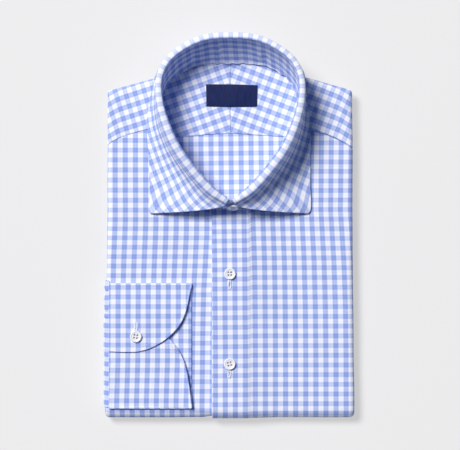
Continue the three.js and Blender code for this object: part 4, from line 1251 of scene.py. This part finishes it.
def button_points():
    """A button: its profile turned about Z, the top face sunk in four round wells, each by
    1 − ease(distance, inside, outside) of its depth. Returns its points, and how far down a well each is,
    from 0 to 1."""
    face = np.concatenate([[0.06], np.linspace(0.25, FACE_RADIUS, 34)])
    radius = np.concatenate([face, BUTTON_RIM[:, 0]])[:, None]
    height = np.concatenate([1.5 + 0.05 * (face / FACE_RADIUS) ** 4, BUTTON_RIM[:, 1]])[:, None]
    angle = np.linspace(0, 2 * np.pi, 97)[:-1]
    x, y = radius * np.cos(angle), radius * np.sin(angle)
    gap = np.hypot(np.abs(x) - HOLE_SPACING / 2, np.abs(y) - HOLE_SPACING / 2)
    sunk = 1 - ease(gap, HOLE_RADIUS, HOLE_RADIUS + 0.14)
    sunk[len(face) :] = 0
    return np.stack([x, y, height - HOLE_DEPTH * sunk], -1), sunk


# Points on a ring of thread, and the direction that the rings through a button keep square to
THREAD_SIDES = 6
THREAD_GUIDE = np.array([0.13, 0.21, 0.97])


def tubes(point, up, radius):
    """Round tubes, each through its row of points: rings of the radius square to the row, kept from
    twisting by the direction up. Returns their points and quads, their ends closed."""
    count, length = point.shape[:2]
    tangent = unit(np.gradient(point, axis=1))
    side = unit(np.cross(tangent, up))
    over = np.cross(side, tangent)
    angle = np.linspace(0, 2 * np.pi, THREAD_SIDES + 1)[:-1, None]
    ring = np.cos(angle) * side[:, :, None] + np.sin(angle) * over[:, :, None]
    points = point[:, :, None] + ring * np.broadcast_to(radius, length)[None, :, None, None]
    starts = THREAD_SIDES * length * np.arange(count)[:, None, None]
    return points.reshape(-1, 3), (ring_quads(length, THREAD_SIDES)[None] + starts).reshape(-1, 4)


def strands(point, up, radius):
    """Short strands of thread: tubes whose radius falls off as √(1 − (0.92 p)²) towards both ends."""
    p = np.linspace(-1, 1, point.shape[1])
    return tubes(point, up, radius * np.sqrt(1 - (0.92 * p) ** 2))


def joined(name, parts):
    """One mesh object from several sets of points and quads."""
    starts = np.cumsum([0] + [len(points) for points, _ in parts[:-1]])
    points = np.vstack([points for points, _ in parts])
    quads = np.vstack([quads + start for (_, quads), start in zip(parts, starts)])
    return make_mesh(name, points, quads)


def button_thread(lean, turn, at):
    """Thread through a button: two pairs of strands from hole to hole, each an arch 1 − p⁴ over the top
    face, and a wound shank under it."""
    p = np.linspace(-1, 1, 13)
    arch = np.stack([p * (HOLE_SPACING / 2 - 0.4), 0 * p, 1.0 + 0.7 * (1 - p**4)], -1)
    wind = np.linspace(0, 10 * np.pi, 90)
    shank = np.stack([1.1 * np.cos(wind), 1.1 * np.sin(wind), -0.35 + 0.4 * wind / wind[-1]], -1)
    places = [sign * HOLE_SPACING / 2 + beside for sign in (-1, 1) for beside in (-0.06, 0.06)]
    arches = np.stack([arch + np.array([0, place, 0]) for place in places])
    made = tubes(arches, THREAD_GUIDE, 0.055), tubes(shank[None], THREAD_GUIDE, 0.18)
    return [(turned_place(points, lean, turn, at), quads) for points, quads in made]


# Buttonholes: middle, half length, turn from upright in degrees, and height of the cloth there
BUTTONHOLES = [
    ((0.6, -54.2), 4.0, 2, PLACKET_TOP),
    ((0.3, -136.2), 3.6, 4, PLACKET_TOP),
    ((-85.2, -92.2), 4.4, 2, CUFF_TOP),
]


def buttonhole_thread(middle, half, turn, height):
    """A buttonhole's thread: strands side by side all round the slit, each from the slit's edge outwards,
    arched as 1 − p² so that they lie over a raised cord."""
    count = 84
    along = (np.arange(count) + 0.5) / count * 2 * np.pi
    p = np.linspace(-1, 1, 5)
    wide = 0.2 + 1.6 * (p + 1) / 2
    x = np.sign(np.sin(along))[:, None] * np.abs(np.sin(along))[:, None] ** 0.35 * wide
    y = (half - 1.2 + wide) * np.cos(along)[:, None]
    z = 0.08 + 0.35 * (1 - p**2) + 0 * x
    a = math.radians(turn)
    across = middle[0] + x * math.cos(a) + y * math.sin(a)
    up_down = middle[1] - x * math.sin(a) + y * math.cos(a)
    point = np.stack([across, up_down, height + z], -1)
    return strands(point, np.array([0, 0, 1.0]), 0.22)


def buttonhole_slit_shadow(middle, half, turn, height):
    """Painted shadow of the cut inside a buttonhole: a thin dark sliver between the two rows of thread."""
    a = math.radians(turn)
    run = np.linspace(-1, 1, 7) * (half - 1.5)
    x, y = middle[0] + run * math.sin(a), middle[1] + run * math.cos(a)
    point = np.stack([x, y, np.full(7, height + 0.1)], -1)
    return strands(point[None], np.array([0, 0, 1.0]), 0.12)


def line_at(grid, distance):
    """The line on a grid at a distance from its first column, measured along each row, with the grid's
    normal there."""
    run = lengths_along(grid, 1)
    k = np.clip(np.argmax(run >= distance, axis=1), 1, grid.shape[1] - 1)[:, None]
    before = np.take_along_axis(run, k - 1, axis=1)
    after = np.take_along_axis(run, k, axis=1)
    share = np.clip((distance - before) / np.maximum(after - before, 1e-6), 0, 1)[..., None]
    low = np.take_along_axis(grid, (k - 1)[..., None], axis=1)
    high = np.take_along_axis(grid, k[..., None], axis=1)
    normal = unit(np.cross(np.gradient(grid, axis=0), np.gradient(grid, axis=1)))
    return (low + (high - low) * share)[:, 0], np.take_along_axis(normal, k[..., None], axis=1)[:, 0]


# How far in from their edges the front, the yoke and the label are stitched, and the leaf's columns over
# the roll that its front stitching leaves out
FRONT_STITCH = 2.2
YOKE_STITCH = 1.6
LABEL_STITCH = 0.9
LEAF_CLEAR = 14


def stitched(path, normal, length, gap, radius):
    """Stitches along a path: at even spaces a strand that rises out of the cloth and dips back into it as
    1 − p², its thickness √(1 − p²), with six sides. Returns points and quads."""
    run = lengths_along(path, 0)
    count = int(run[-1] / (length + gap))
    p = np.linspace(-1, 1, 5)
    starts = (np.arange(count) + 0.5) * (length + gap)
    places = starts[:, None] + p[None] * length / 2
    point = np.stack([np.interp(places, run, path[:, k]) for k in range(3)], -1)
    up = unit(np.stack([np.interp(places, run, normal[:, k]) for k in range(3)], -1))
    point = point + up * (radius * (0.9 - 1.1 * p**2))[None, :, None]
    return strands(point, up, radius)


# Finishes


finish_names = {
    "gingham_cotton": "gingham poplin, yarn dyed and pressed",
    "label_satin": "navy damask satin, woven",
    "button_resin": "pearl white polyester resin, turned and polished",
}
THREAD_NAME = "white spun polyester sewing thread"
# The navy thread finish serves the label's stitches and the painted shadow in the buttonhole slits.
NAVY_THREAD_AND_SLIT_SHADOW_NAME = "navy spun polyester sewing thread"
FLOOR_NAME = "opal acrylic light table"
# Where the half tones lie from white, 0, to blue, 1: blue weft under white warp, and the other way round
HALF_WEFT = 0.43
HALF_WARP = 0.57
# Half the width over which one stripe turns into the next, in millimetres
STRIPE_BLUR = 0.1
# How many fine lines, a little lighter or darker, run in each repeat
FINE_LINES = 4
# A wave texture at scale 1 turns once in this length
WAVE_LENGTH = math.pi / 10
# Spacing of the lines drawn on the label and along the thread, in millimetres
LABEL_LINES = 2.83
THREAD_LINES = 3.14


def add_node(tree, kind, inputs=None, **settings):
    """Adds a node with its settings, and for each input a link from a node or socket, or a value."""
    node = tree.nodes.new(kind)
    for key, value in settings.items():
        setattr(node, key, value)
    for key, value in (inputs or {}).items():
        if isinstance(value, bpy.types.Node):
            tree.links.new(value.outputs[0], node.inputs[key])
        elif isinstance(value, bpy.types.NodeSocket):
            tree.links.new(value, node.inputs[key])
        else:
            node.inputs[key].default_value = value
    return node


def new_finish(name):
    """A new material, and its node tree with nothing in it."""
    made = bpy.data.materials.new(name)
    made.use_nodes = True
    made.node_tree.nodes.clear()
    return made, made.node_tree


def gingham_finish(cloth):
    """Cotton poplin in plain weave, its warp and weft dyed in blue and white stripes before weaving. It is
    matt, with a faint nap, and shows its crossing threads, which differ a little in tone. Real poplin has
    about 0.2 mm between threads, drawn here at the thread spacing given so that it shows."""
    made, tree = new_finish(finish_names["gingham_cotton"])
    cut = add_node(tree, "ShaderNodeUVMap", uv_map="cut")
    parts = add_node(tree, "ShaderNodeSeparateXYZ", {0: cut})
    stripes = []
    waves = []
    lines = []
    edge = cloth.stripe_share / 2
    for axis, repeat in ((0, cloth.warp_repeat), (1, cloth.weft_repeat)):
        place = parts.outputs[axis]
        turns = add_node(tree, "ShaderNodeMath", {0: place, 1: 1 / repeat}, operation="MULTIPLY")
        swing = add_node(tree, "ShaderNodeMath", {0: turns, 1: 0.5}, operation="PINGPONG")
        soft = STRIPE_BLUR * MM * 2 / repeat
        limits = {0: swing, 1: edge - soft, 2: edge + soft, 3: 1.0, 4: 0.0}
        stripe = add_node(tree, "ShaderNodeMapRange", limits, interpolation_type="SMOOTHSTEP")
        stripes.append(stripe)
        half_turns = math.pi / cloth.thread_spacing
        threads = add_node(tree, "ShaderNodeMath", {0: place, 1: half_turns}, operation="MULTIPLY")
        waves.append(add_node(tree, "ShaderNodeMath", {0: threads}, operation="SINE"))
        beat = add_node(tree, "ShaderNodeMath", {0: turns, 1: 2 * math.pi * FINE_LINES}, operation="MULTIPLY")
        swell = add_node(tree, "ShaderNodeMath", {0: beat}, operation="COSINE")
        less = add_node(tree, "ShaderNodeMath", {0: stripe, 1: 0.35}, operation="SUBTRACT")
        lines.append(add_node(tree, "ShaderNodeMath", {0: swell, 1: less}, operation="MULTIPLY"))
    warp_part = add_node(tree, "ShaderNodeMath", {0: stripes[0], 1: HALF_WARP}, operation="MULTIPLY")
    shares = {0: stripes[1], 1: HALF_WEFT, 2: warp_part}
    both = add_node(tree, "ShaderNodeMath", shares, operation="MULTIPLY_ADD")
    weave = add_node(tree, "ShaderNodeMath", {0: waves[0], 1: waves[1]}, operation="MULTIPLY")
    differ = add_node(tree, "ShaderNodeMath", {0: stripes[0], 1: stripes[1]}, operation="SUBTRACT")
    over = add_node(tree, "ShaderNodeMath", {0: weave, 1: differ}, operation="MULTIPLY")
    amount = add_node(tree, "ShaderNodeMath", {0: over, 1: 0.16, 2: both}, operation="MULTIPLY_ADD")
    ramp = add_node(tree, "ShaderNodeValToRGB", {0: amount})
    stops = ramp.color_ramp.elements
    stops[0].position, stops[0].color = 0.0, cloth.white
    stops[1].position, stops[1].color = 1.0, cloth.blue
    for place, colour in ((HALF_WEFT, cloth.half_weft), (HALF_WARP, cloth.half_warp)):
        stops.new(place).color = colour
    tones = []
    fine, long = 1.1 / MM, 0.012 / MM
    for scale in ((fine, long, 1.0), (long, fine, 1.0)):
        yarns = add_node(tree, "ShaderNodeMapping", {0: cut, 3: scale})
        tones.append(add_node(tree, "ShaderNodeTexNoise", {0: yarns, 2: 1.0, 3: 1.0}, noise_dimensions="2D"))
    wash = add_node(tree, "ShaderNodeTexNoise", {0: cut, 2: 0.034 / MM, 3: 3.0}, noise_dimensions="2D")
    tone = add_node(tree, "ShaderNodeMath", {0: tones[0], 1: tones[1]}, operation="ADD")
    tone = add_node(tree, "ShaderNodeMath", {0: wash, 1: 0.6, 2: tone}, operation="MULTIPLY_ADD")
    line = add_node(tree, "ShaderNodeMath", {0: lines[0], 1: lines[1]}, operation="ADD")
    tone = add_node(tree, "ShaderNodeMath", {0: line, 1: 0.5, 2: tone}, operation="MULTIPLY_ADD")
    bright = add_node(tree, "ShaderNodeMapRange", {0: tone, 1: 0.8, 2: 1.8, 3: 0.93, 4: 1.05})
    shade = add_node(tree, "ShaderNodeCombineColor", {0: bright, 1: bright, 2: bright})
    tinted = {"data_type": "RGBA", "blend_type": "MULTIPLY"}
    colour = add_node(tree, "ShaderNodeMix", {0: 1.0, 6: ramp, 7: shade}, **tinted)
    nap = add_node(tree, "ShaderNodeTexNoise", {0: cut, 2: 2.6 / MM, 3: 2.0}, noise_dimensions="2D")
    ups = add_node(tree, "ShaderNodeMath", {0: weave}, operation="ABSOLUTE")
    height = add_node(tree, "ShaderNodeMath", {0: nap, 1: 0.5, 2: ups}, operation="MULTIPLY_ADD")
    bump = add_node(tree, "ShaderNodeBump", {"Height": height, "Distance": 0.06 * MM, "Strength": 0.5})
    shader = add_node(
        tree,
        "ShaderNodeBsdfPrincipled",
        {
            "Base Color": colour.outputs[2],
            "Roughness": 0.82,
            "Specular IOR Level": 0.25,
            "Sheen Weight": 0.12,
            "Sheen Roughness": 0.5,
            "Normal": bump,
        },
    )
    add_node(tree, "ShaderNodeOutputMaterial", {0: shader})
    return made


def satin_finish(cloth):
    """Polyester satin for a woven label: long floats of fine thread lie side by side, so it is smooth with a
    soft sheen across them, with slanting lines where the floats are tied down. On the real label these are
    about 0.3 mm apart, and they are drawn 2.8 mm apart so that they show."""
    made, tree = new_finish(finish_names["label_satin"])
    cut = add_node(tree, "ShaderNodeUVMap", uv_map="cut")
    floats = add_node(tree, "ShaderNodeMapping", {0: cut, 2: (0, 0, math.radians(24))})
    spacing = WAVE_LENGTH / (LABEL_LINES * MM)
    twill = add_node(tree, "ShaderNodeTexWave", {0: floats, 1: spacing, 2: 0.6, 3: 1.0})
    grain = add_node(tree, "ShaderNodeMapping", {0: cut, 3: (0.9 / MM, 0.09 / MM, 1.0)})
    thread = add_node(tree, "ShaderNodeTexNoise", {0: grain, 2: 1.0, 3: 2.0}, noise_dimensions="2D")
    lines = twill.outputs[1]
    mixed = add_node(tree, "ShaderNodeMath", {0: lines, 1: 0.14, 2: thread}, operation="MULTIPLY_ADD")
    ramp = add_node(tree, "ShaderNodeValToRGB", {0: mixed})
    dark, light = ramp.color_ramp.elements
    dark.position, dark.color = 0.3, cloth.label_dark
    light.position, light.color = 0.95, cloth.label_light
    bump = add_node(tree, "ShaderNodeBump", {"Height": mixed, "Distance": 0.05 * MM, "Strength": 0.4})
    shader = add_node(
        tree,
        "ShaderNodeBsdfPrincipled",
        {
            "Base Color": ramp,
            "Roughness": 0.5,
            "Specular IOR Level": 0.2,
            "Sheen Weight": 0.05,
            "Normal": bump,
        },
    )
    add_node(tree, "ShaderNodeOutputMaterial", {0: shader})
    return made


def resin_finish(cloth):
    """Polyester resin buttons with pearl pigment, turned and tumbled: hard, smooth and glossy, off white
    with faint drifting streaks of pearl, and a little light getting in. The holes are painted darker by
    their depth, as painted shade in the holes. The map "cut" holds how far down a hole each point is."""
    made, tree = new_finish(finish_names["button_resin"])
    place = add_node(tree, "ShaderNodeTexCoord")
    streaks = (0.26 / MM, 0.7 / MM, 0.4 / MM)
    stretched = add_node(tree, "ShaderNodeMapping", {0: place.outputs["Object"], 3: streaks})
    pearl = add_node(tree, "ShaderNodeTexNoise", {0: stretched, 2: 1.0, 3: 3.0, 8: 0.8})
    ramp = add_node(tree, "ShaderNodeValToRGB", {0: pearl})
    shade, white = ramp.color_ramp.elements
    shade.position, shade.color = 0.3, cloth.button_shade
    white.position, white.color = 0.65, cloth.button_white
    cut = add_node(tree, "ShaderNodeUVMap", uv_map="cut")
    depth = add_node(tree, "ShaderNodeSeparateXYZ", {0: cut})
    # Painted shade: the deeper a point lies in a hole, the nearer its colour goes to the hole shade colour.
    painted_hole_shade = add_node(tree, "ShaderNodeMapRange", {0: depth, 1: 0.2 * MM, 2: 0.8 * MM, 3: 0.0, 4: 1.0})
    colour = add_node(tree, "ShaderNodeMix", {0: painted_hole_shade, 6: ramp, 7: cloth.button_hole_shade}, data_type="RGBA")
    fine = add_node(tree, "ShaderNodeMapRange", {0: pearl, 1: 0.3, 2: 0.7, 3: 0.3, 4: 0.2})
    bump = add_node(tree, "ShaderNodeBump", {"Height": pearl, "Distance": 0.02 * MM, "Strength": 0.3})
    shader = add_node(
        tree,
        "ShaderNodeBsdfPrincipled",
        {"Base Color": colour.outputs[2], "Roughness": fine, "IOR": 1.55, "Coat Weight": 0.2, "Normal": bump},
    )
    add_node(tree, "ShaderNodeOutputMaterial", {0: shader})
    return made


def thread_finish(name, colour, darker):
    """Spun polyester thread: two plies twisted together, matt and slightly hairy, so slanting bands of
    light and shade run along it. They are about 0.5 mm apart on the real thread, and are drawn 3.1 mm apart
    so that they show."""
    made, tree = new_finish(name)
    place = add_node(tree, "ShaderNodeTexCoord")
    turned = add_node(tree, "ShaderNodeMapping", {0: place.outputs["Object"], 2: (0.6, 0.4, 0.7)})
    spacing = WAVE_LENGTH / (THREAD_LINES * MM)
    twist = add_node(tree, "ShaderNodeTexWave", {0: turned, 1: spacing, 2: 1.5, 3: 1.0})
    bands = twist.outputs[1]
    ramp = add_node(tree, "ShaderNodeValToRGB", {0: bands})
    ramp.color_ramp.elements[0].color = darker
    ramp.color_ramp.elements[1].color = colour
    bump = add_node(tree, "ShaderNodeBump", {"Height": bands, "Distance": 0.05 * MM, "Strength": 0.5})
    shader = add_node(
        tree,
        "ShaderNodeBsdfPrincipled",
        {
            "Base Color": ramp,
            "Roughness": 0.7,
            "Specular IOR Level": 0.3,
            "Sheen Weight": 0.2,
            "Normal": bump,
        },
    )
    add_node(tree, "ShaderNodeOutputMaterial", {0: shader})
    return made


def table_finish(colour):
    """Opal acrylic with a sanded face, lit from below as on a studio's light table: even and without
    gloss, and the shadows on it stay pale. The sanding leaves a barely visible tooth."""
    made, tree = new_finish(FLOOR_NAME)
    place = add_node(tree, "ShaderNodeTexCoord")
    tooth = add_node(tree, "ShaderNodeTexNoise", {0: place.outputs["Object"], 2: 0.4 / MM, 3: 2.0})
    bump = add_node(tree, "ShaderNodeBump", {"Height": tooth, "Distance": 0.02 * MM, "Strength": 0.1})
    shader = add_node(
        tree,
        "ShaderNodeBsdfPrincipled",
        {
            "Base Color": colour,
            "Roughness": 0.95,
            "Specular IOR Level": 0.1,
            "Emission Color": linear("#fffdf7"),
            "Emission Strength": 0.53,
            "Normal": bump,
        },
    )
    add_node(tree, "ShaderNodeOutputMaterial", {0: shader})
    return made


# What a user may change


def colour_property(name, description, colour):
    """A colour that a user may change, from an sRGB hex value."""
    return bpy.props.FloatVectorProperty(
        name=name, description=description, default=linear(colour), size=4, subtype="COLOR"
    )


def length_property(name, description, length):
    """A length that a user may change, from millimetres."""
    return bpy.props.FloatProperty(name=name, description=description, default=length * MM, unit="LENGTH")


class ShirtCloth(bpy.types.PropertyGroup):
    """Sizes and colours of the cloth, label and buttons."""

    warp_repeat: length_property("Warp repeat", "One blue and one white stripe across the warp", WARP_REPEAT)
    weft_repeat: length_property("Weft repeat", "One blue and one white stripe across the weft", WEFT_REPEAT)
    stripe_share: bpy.props.FloatProperty(
        name="Blue share", description="Part of each repeat that is blue", default=0.5, subtype="FACTOR"
    )
    thread_spacing: length_property("Thread spacing", "Distance between the threads that are drawn", 0.45)
    white: colour_property("White", "White yarn over white yarn", "#fafaff")
    half_weft: colour_property("Half tone, weft", "White warp over blue weft", "#d0dbf9")
    half_warp: colour_property("Half tone, warp", "Blue warp over white weft", "#bac8f3")
    blue: colour_property("Blue", "Blue yarn over blue yarn", "#96aae4")
    label_dark: colour_property("Label, dark", "Shade between the label's threads", "#0c1844")
    label_light: colour_property("Label, light", "Colour of the label's threads", "#182a60")
    button_white: colour_property("Button", "Main colour of the buttons", "#fffdfa")
    button_shade: colour_property("Button streaks", "Pearl streaks in the buttons", "#f4f3f3")
    # Painted shade: the colour that the holes are painted towards by their depth, standing in for the shade
    # in them.
    button_hole_shade: colour_property("Button holes", "Colour inside the buttons' holes", "#b0abb9")


class ShirtSewing(bpy.types.PropertyGroup):
    """Sizes and colours of the sewing."""

    stitch_length: length_property("Stitch length", "Length of thread that shows in each stitch", 1.6)
    stitch_gap: length_property("Stitch gap", "Cloth between two stitches", 0.5)
    thread_radius: length_property("Thread radius", "Half the thread's thickness", 0.12)
    thread: colour_property("Thread", "Colour of the sewing thread", "#f7f9ff")
    # This colour also goes to the painted shadow in the buttonhole slits.
    navy_thread: colour_property("Label thread", "Colour of the label's stitches", "#26386f")


class ShirtStage(bpy.types.PropertyGroup):
    """Light and floor."""

    key_power: bpy.props.FloatProperty(
        name="Key light", description="Power of the soft light at the upper left", default=1755, unit="POWER"
    )
    sky: bpy.props.FloatProperty(name="Sky", description="Strength of the even light all round", default=0.17)
    floor: colour_property("Floor", "Colour of the floor", "#9c9da0")


# The operators, one for each piece or group of like pieces


class SHIRT_OT_finishes(bpy.types.Operator):
    """Make the cloth, label, button, thread and floor finishes"""

    bl_idname = "shirt.finishes"
    bl_label = "Finishes"

    def execute(self, context):
        cloth = context.scene.shirt_cloth
        sewing = context.scene.shirt_sewing
        gingham_finish(cloth)
        satin_finish(cloth)
        resin_finish(cloth)
        thread_finish(THREAD_NAME, sewing.thread, linear("#dfe5f5"))
        thread_finish(NAVY_THREAD_AND_SLIT_SHADOW_NAME, sewing.navy_thread, linear("#121d44"))
        table_finish(context.scene.shirt_stage.floor)
        return {"FINISHED"}


class SHIRT_OT_packet(bpy.types.Operator):
    """Make the hidden folded layers"""

    bl_idname = "shirt.packet"
    bl_label = "Hidden layers"

    def execute(self, context):
        packet()
        return {"FINISHED"}


class SHIRT_OT_fronts(bpy.types.Operator):
    """Make the two fronts"""

    bl_idname = "shirt.fronts"
    bl_label = "Fronts"

    def execute(self, context):
        over_front()
        under_front()
        return {"FINISHED"}


class SHIRT_OT_yokes(bpy.types.Operator):
    """Make the outer and inner yokes"""

    bl_idname = "shirt.yokes"
    bl_label = "Yokes"

    def execute(self, context):
        outer_yoke("yoke_left", "yoke_outer_left", 1)
        outer_yoke("yoke_right", "yoke_outer_right", -1)
        yoke_lining("yoke_lining_left", "yoke_inner_left", 1)
        yoke_lining("yoke_lining_right", "yoke_inner_right", -1)
        return {"FINISHED"}


class SHIRT_OT_inner_back(bpy.types.Operator):
    """Make the back that shows inside the neck"""

    bl_idname = "shirt.inner_back"
    bl_label = "Inner back"

    def execute(self, context):
        inner_back()
        return {"FINISHED"}


class SHIRT_OT_collar(bpy.types.Operator):
    """Make the collar's stand and leaf"""

    bl_idname = "shirt.collar"
    bl_label = "Collar"

    def execute(self, context):
        collar_stand()
        collar_leaf()
        return {"FINISHED"}


class SHIRT_OT_sleeve(bpy.types.Operator):
    """Make the cuff and the sleeve's end"""

    bl_idname = "shirt.sleeve"
    bl_label = "Cuff and sleeve"

    def execute(self, context):
        cuff_band()
        sleeve_end()
        return {"FINISHED"}


class SHIRT_OT_label(bpy.types.Operator):
    """Make the bare neck label"""

    bl_idname = "shirt.label"
    bl_label = "Label"

    def execute(self, context):
        neck_label()
        return {"FINISHED"}


class SHIRT_OT_buttons(bpy.types.Operator):
    """Make the buttons and the thread through them"""

    bl_idname = "shirt.buttons"
    bl_label = "Buttons"

    def execute(self, context):
        grid, sunk = button_points()
        quads = ring_quads(*sunk.shape)
        # The map "cut" carries each point's depth in a hole. The resin finish turns it into painted shade.
        uv = np.stack([sunk, sunk], -1).reshape(-1, 2)
        parts = []
        for node, at, lean, turn in BUTTONS:
            placed = turned_place(grid.reshape(-1, 3), lean, turn, at)
            made = make_mesh(node.replace("button", "resin_button"), placed, quads, uv)
            dress(made, "button_resin", node)
            parts.extend(button_thread(lean, turn, at))
        dress(joined("button_thread", parts), "gingham_cotton", finish=THREAD_NAME)
        return {"FINISHED"}


class SHIRT_OT_buttonholes(bpy.types.Operator):
    """Make the sewn buttonholes"""

    bl_idname = "shirt.buttonholes"
    bl_label = "Buttonholes"

    def execute(self, context):
        edges = joined("buttonhole_thread", [buttonhole_thread(*row) for row in BUTTONHOLES])
        slit_shadows = joined("buttonhole_slit_shadow", [buttonhole_slit_shadow(*row) for row in BUTTONHOLES])
        dress(edges, "gingham_cotton", finish=THREAD_NAME)
        # The slits are dark slivers in the navy thread finish: painted shadow of the cut.
        dress(slit_shadows, "gingham_cotton", finish=NAVY_THREAD_AND_SLIT_SHADOW_NAME)
        return {"FINISHED"}


class SHIRT_OT_stitching(bpy.types.Operator):
    """Make the seam and top stitching"""

    bl_idname = "shirt.stitching"
    bl_label = "Stitching"

    def execute(self, context):
        sewing = context.scene.shirt_sewing
        sizes = (sewing.stitch_length / MM, sewing.stitch_gap / MM, sewing.thread_radius / MM)
        leaf, cuff, label = surfaces["leaf"], surfaces["cuff"][4:-4], surfaces["label"]
        ends = np.swapaxes(leaf[:, LEAF_CLEAR:], 0, 1)
        front = np.swapaxes(surfaces["over_front"], 0, 1)[8:-8]
        across = np.swapaxes(label, 0, 1)
        seams = [
            (leaf[3:-3, ::-1], LEAF_STITCH),
            (ends, LEAF_STITCH),
            (ends[:, ::-1], LEAF_STITCH),
            (front, FRONT_STITCH),
            (surfaces["yoke_left"][:24], YOKE_STITCH),
            (surfaces["yoke_right"][:24], YOKE_STITCH),
            (cuff, CUFF_STITCH),
            (cuff[:, ::-1], CUFF_STITCH),
        ]
        sides = (label, label[:, ::-1], across, across[:, ::-1])
        round_label = [(grid[4:-4], LABEL_STITCH) for grid in sides]
        for name, edges, finish, slot in (
            ("seam_stitching", seams, THREAD_NAME, "gingham_cotton"),
            ("label_stitching", round_label, NAVY_THREAD_AND_SLIT_SHADOW_NAME, "label_satin"),
        ):
            parts = []
            for grid, distance in edges:
                path, normal = line_at(grid, distance)
                upwards = normal * np.sign(np.mean(normal[..., 2]))
                parts.append(stitched(path, upwards, *sizes))
            dress(joined(name, parts), slot, finish=finish)
        return {"FINISHED"}


# The stage in metres: how far the floor reaches and lies below the shirt, and the key light's and the
# camera's places. The camera's lens is in millimetres
FLOOR_REACH = 3.0
FLOOR_BELOW = 0.0002
KEY_PLACE = (-5.3, 5.4, 9.9)
KEY_WIDTH = 4.9
CAMERA_PLACE = (0.00118, 0.00206, 2.213)
CAMERA_LENS = 187.1


class SHIRT_OT_stage(bpy.types.Operator):
    """Make the floor, the lights and the camera"""

    bl_idname = "shirt.stage"
    bl_label = "Stage"

    def execute(self, context):
        scene = context.scene
        stage = scene.shirt_stage
        mesh = bpy.data.meshes.new("floor")
        corners = [(-1, -1), (1, -1), (1, 1), (-1, 1)]
        points = [(x * FLOOR_REACH, y * FLOOR_REACH, -FLOOR_BELOW) for x, y in corners]
        mesh.from_pydata(points, [], [(0, 1, 2, 3)])
        floor = bpy.data.objects.new("floor", mesh)
        floor.data.materials.append(bpy.data.materials[FLOOR_NAME])
        scene.collection.objects.link(floor)
        world = bpy.data.worlds.new("studio")
        world.use_nodes = True
        sky = world.node_tree.nodes["Background"]
        sky.inputs["Color"].default_value = linear("#9fbcff")
        sky.inputs["Strength"].default_value = stage.sky
        scene.world = world
        key = bpy.data.lights.new("key", "AREA")
        key.energy = stage.key_power
        key.shape = "DISK"
        key.size = KEY_WIDTH
        key.color = linear("#fffdfb")[:3]
        lamp = bpy.data.objects.new("key", key)
        lamp.location = KEY_PLACE
        lamp.rotation_mode = "QUATERNION"
        lamp.rotation_quaternion = lamp.location.to_track_quat("Z", "Y")
        scene.collection.objects.link(lamp)
        camera = bpy.data.cameras.new("photo_camera")
        camera.lens = CAMERA_LENS
        camera.sensor_width = 36
        view = bpy.data.objects.new("photo_camera", camera)
        view.location = CAMERA_PLACE
        scene.collection.objects.link(view)
        scene.camera = view
        scene.view_settings.view_transform = "Standard"
        return {"FINISHED"}


class SHIRT_PT_panel(bpy.types.Panel):
    """The shirt's sizes, colours and pieces, in the sidebar"""

    bl_label = "Folded Dress Shirt"
    bl_idname = "SHIRT_PT_panel"
    bl_space_type = "VIEW_3D"
    bl_region_type = "UI"
    bl_category = "Shirt"

    def draw(self, context):
        layout = self.layout
        for group in (context.scene.shirt_cloth, context.scene.shirt_sewing, context.scene.shirt_stage):
            for key in group.__annotations__:
                layout.prop(group, key)
        for operator in OPERATORS:
            layout.operator(operator.bl_idname)


OPERATORS = (
    SHIRT_OT_finishes,
    SHIRT_OT_packet,
    SHIRT_OT_fronts,
    SHIRT_OT_yokes,
    SHIRT_OT_inner_back,
    SHIRT_OT_collar,
    SHIRT_OT_sleeve,
    SHIRT_OT_label,
    SHIRT_OT_buttons,
    SHIRT_OT_buttonholes,
    SHIRT_OT_stitching,
    SHIRT_OT_stage,
)
CLASSES = (ShirtCloth, ShirtSewing, ShirtStage, *OPERATORS, SHIRT_PT_panel)


def register():
    for cls in CLASSES:
        bpy.utils.register_class(cls)
    bpy.types.Scene.shirt_cloth = bpy.props.PointerProperty(type=ShirtCloth)
    bpy.types.Scene.shirt_sewing = bpy.props.PointerProperty(type=ShirtSewing)
    bpy.types.Scene.shirt_stage = bpy.props.PointerProperty(type=ShirtStage)


def unregister():
    del bpy.types.Scene.shirt_stage
    del bpy.types.Scene.shirt_sewing
    del bpy.types.Scene.shirt_cloth
    for cls in reversed(CLASSES):
        bpy.utils.unregister_class(cls)


def main():
    register()
    for operator in OPERATORS:
        group, name = operator.bl_idname.split(".")
        getattr(getattr(bpy.ops, group), name)()


if __name__ == "__main__":
    main()
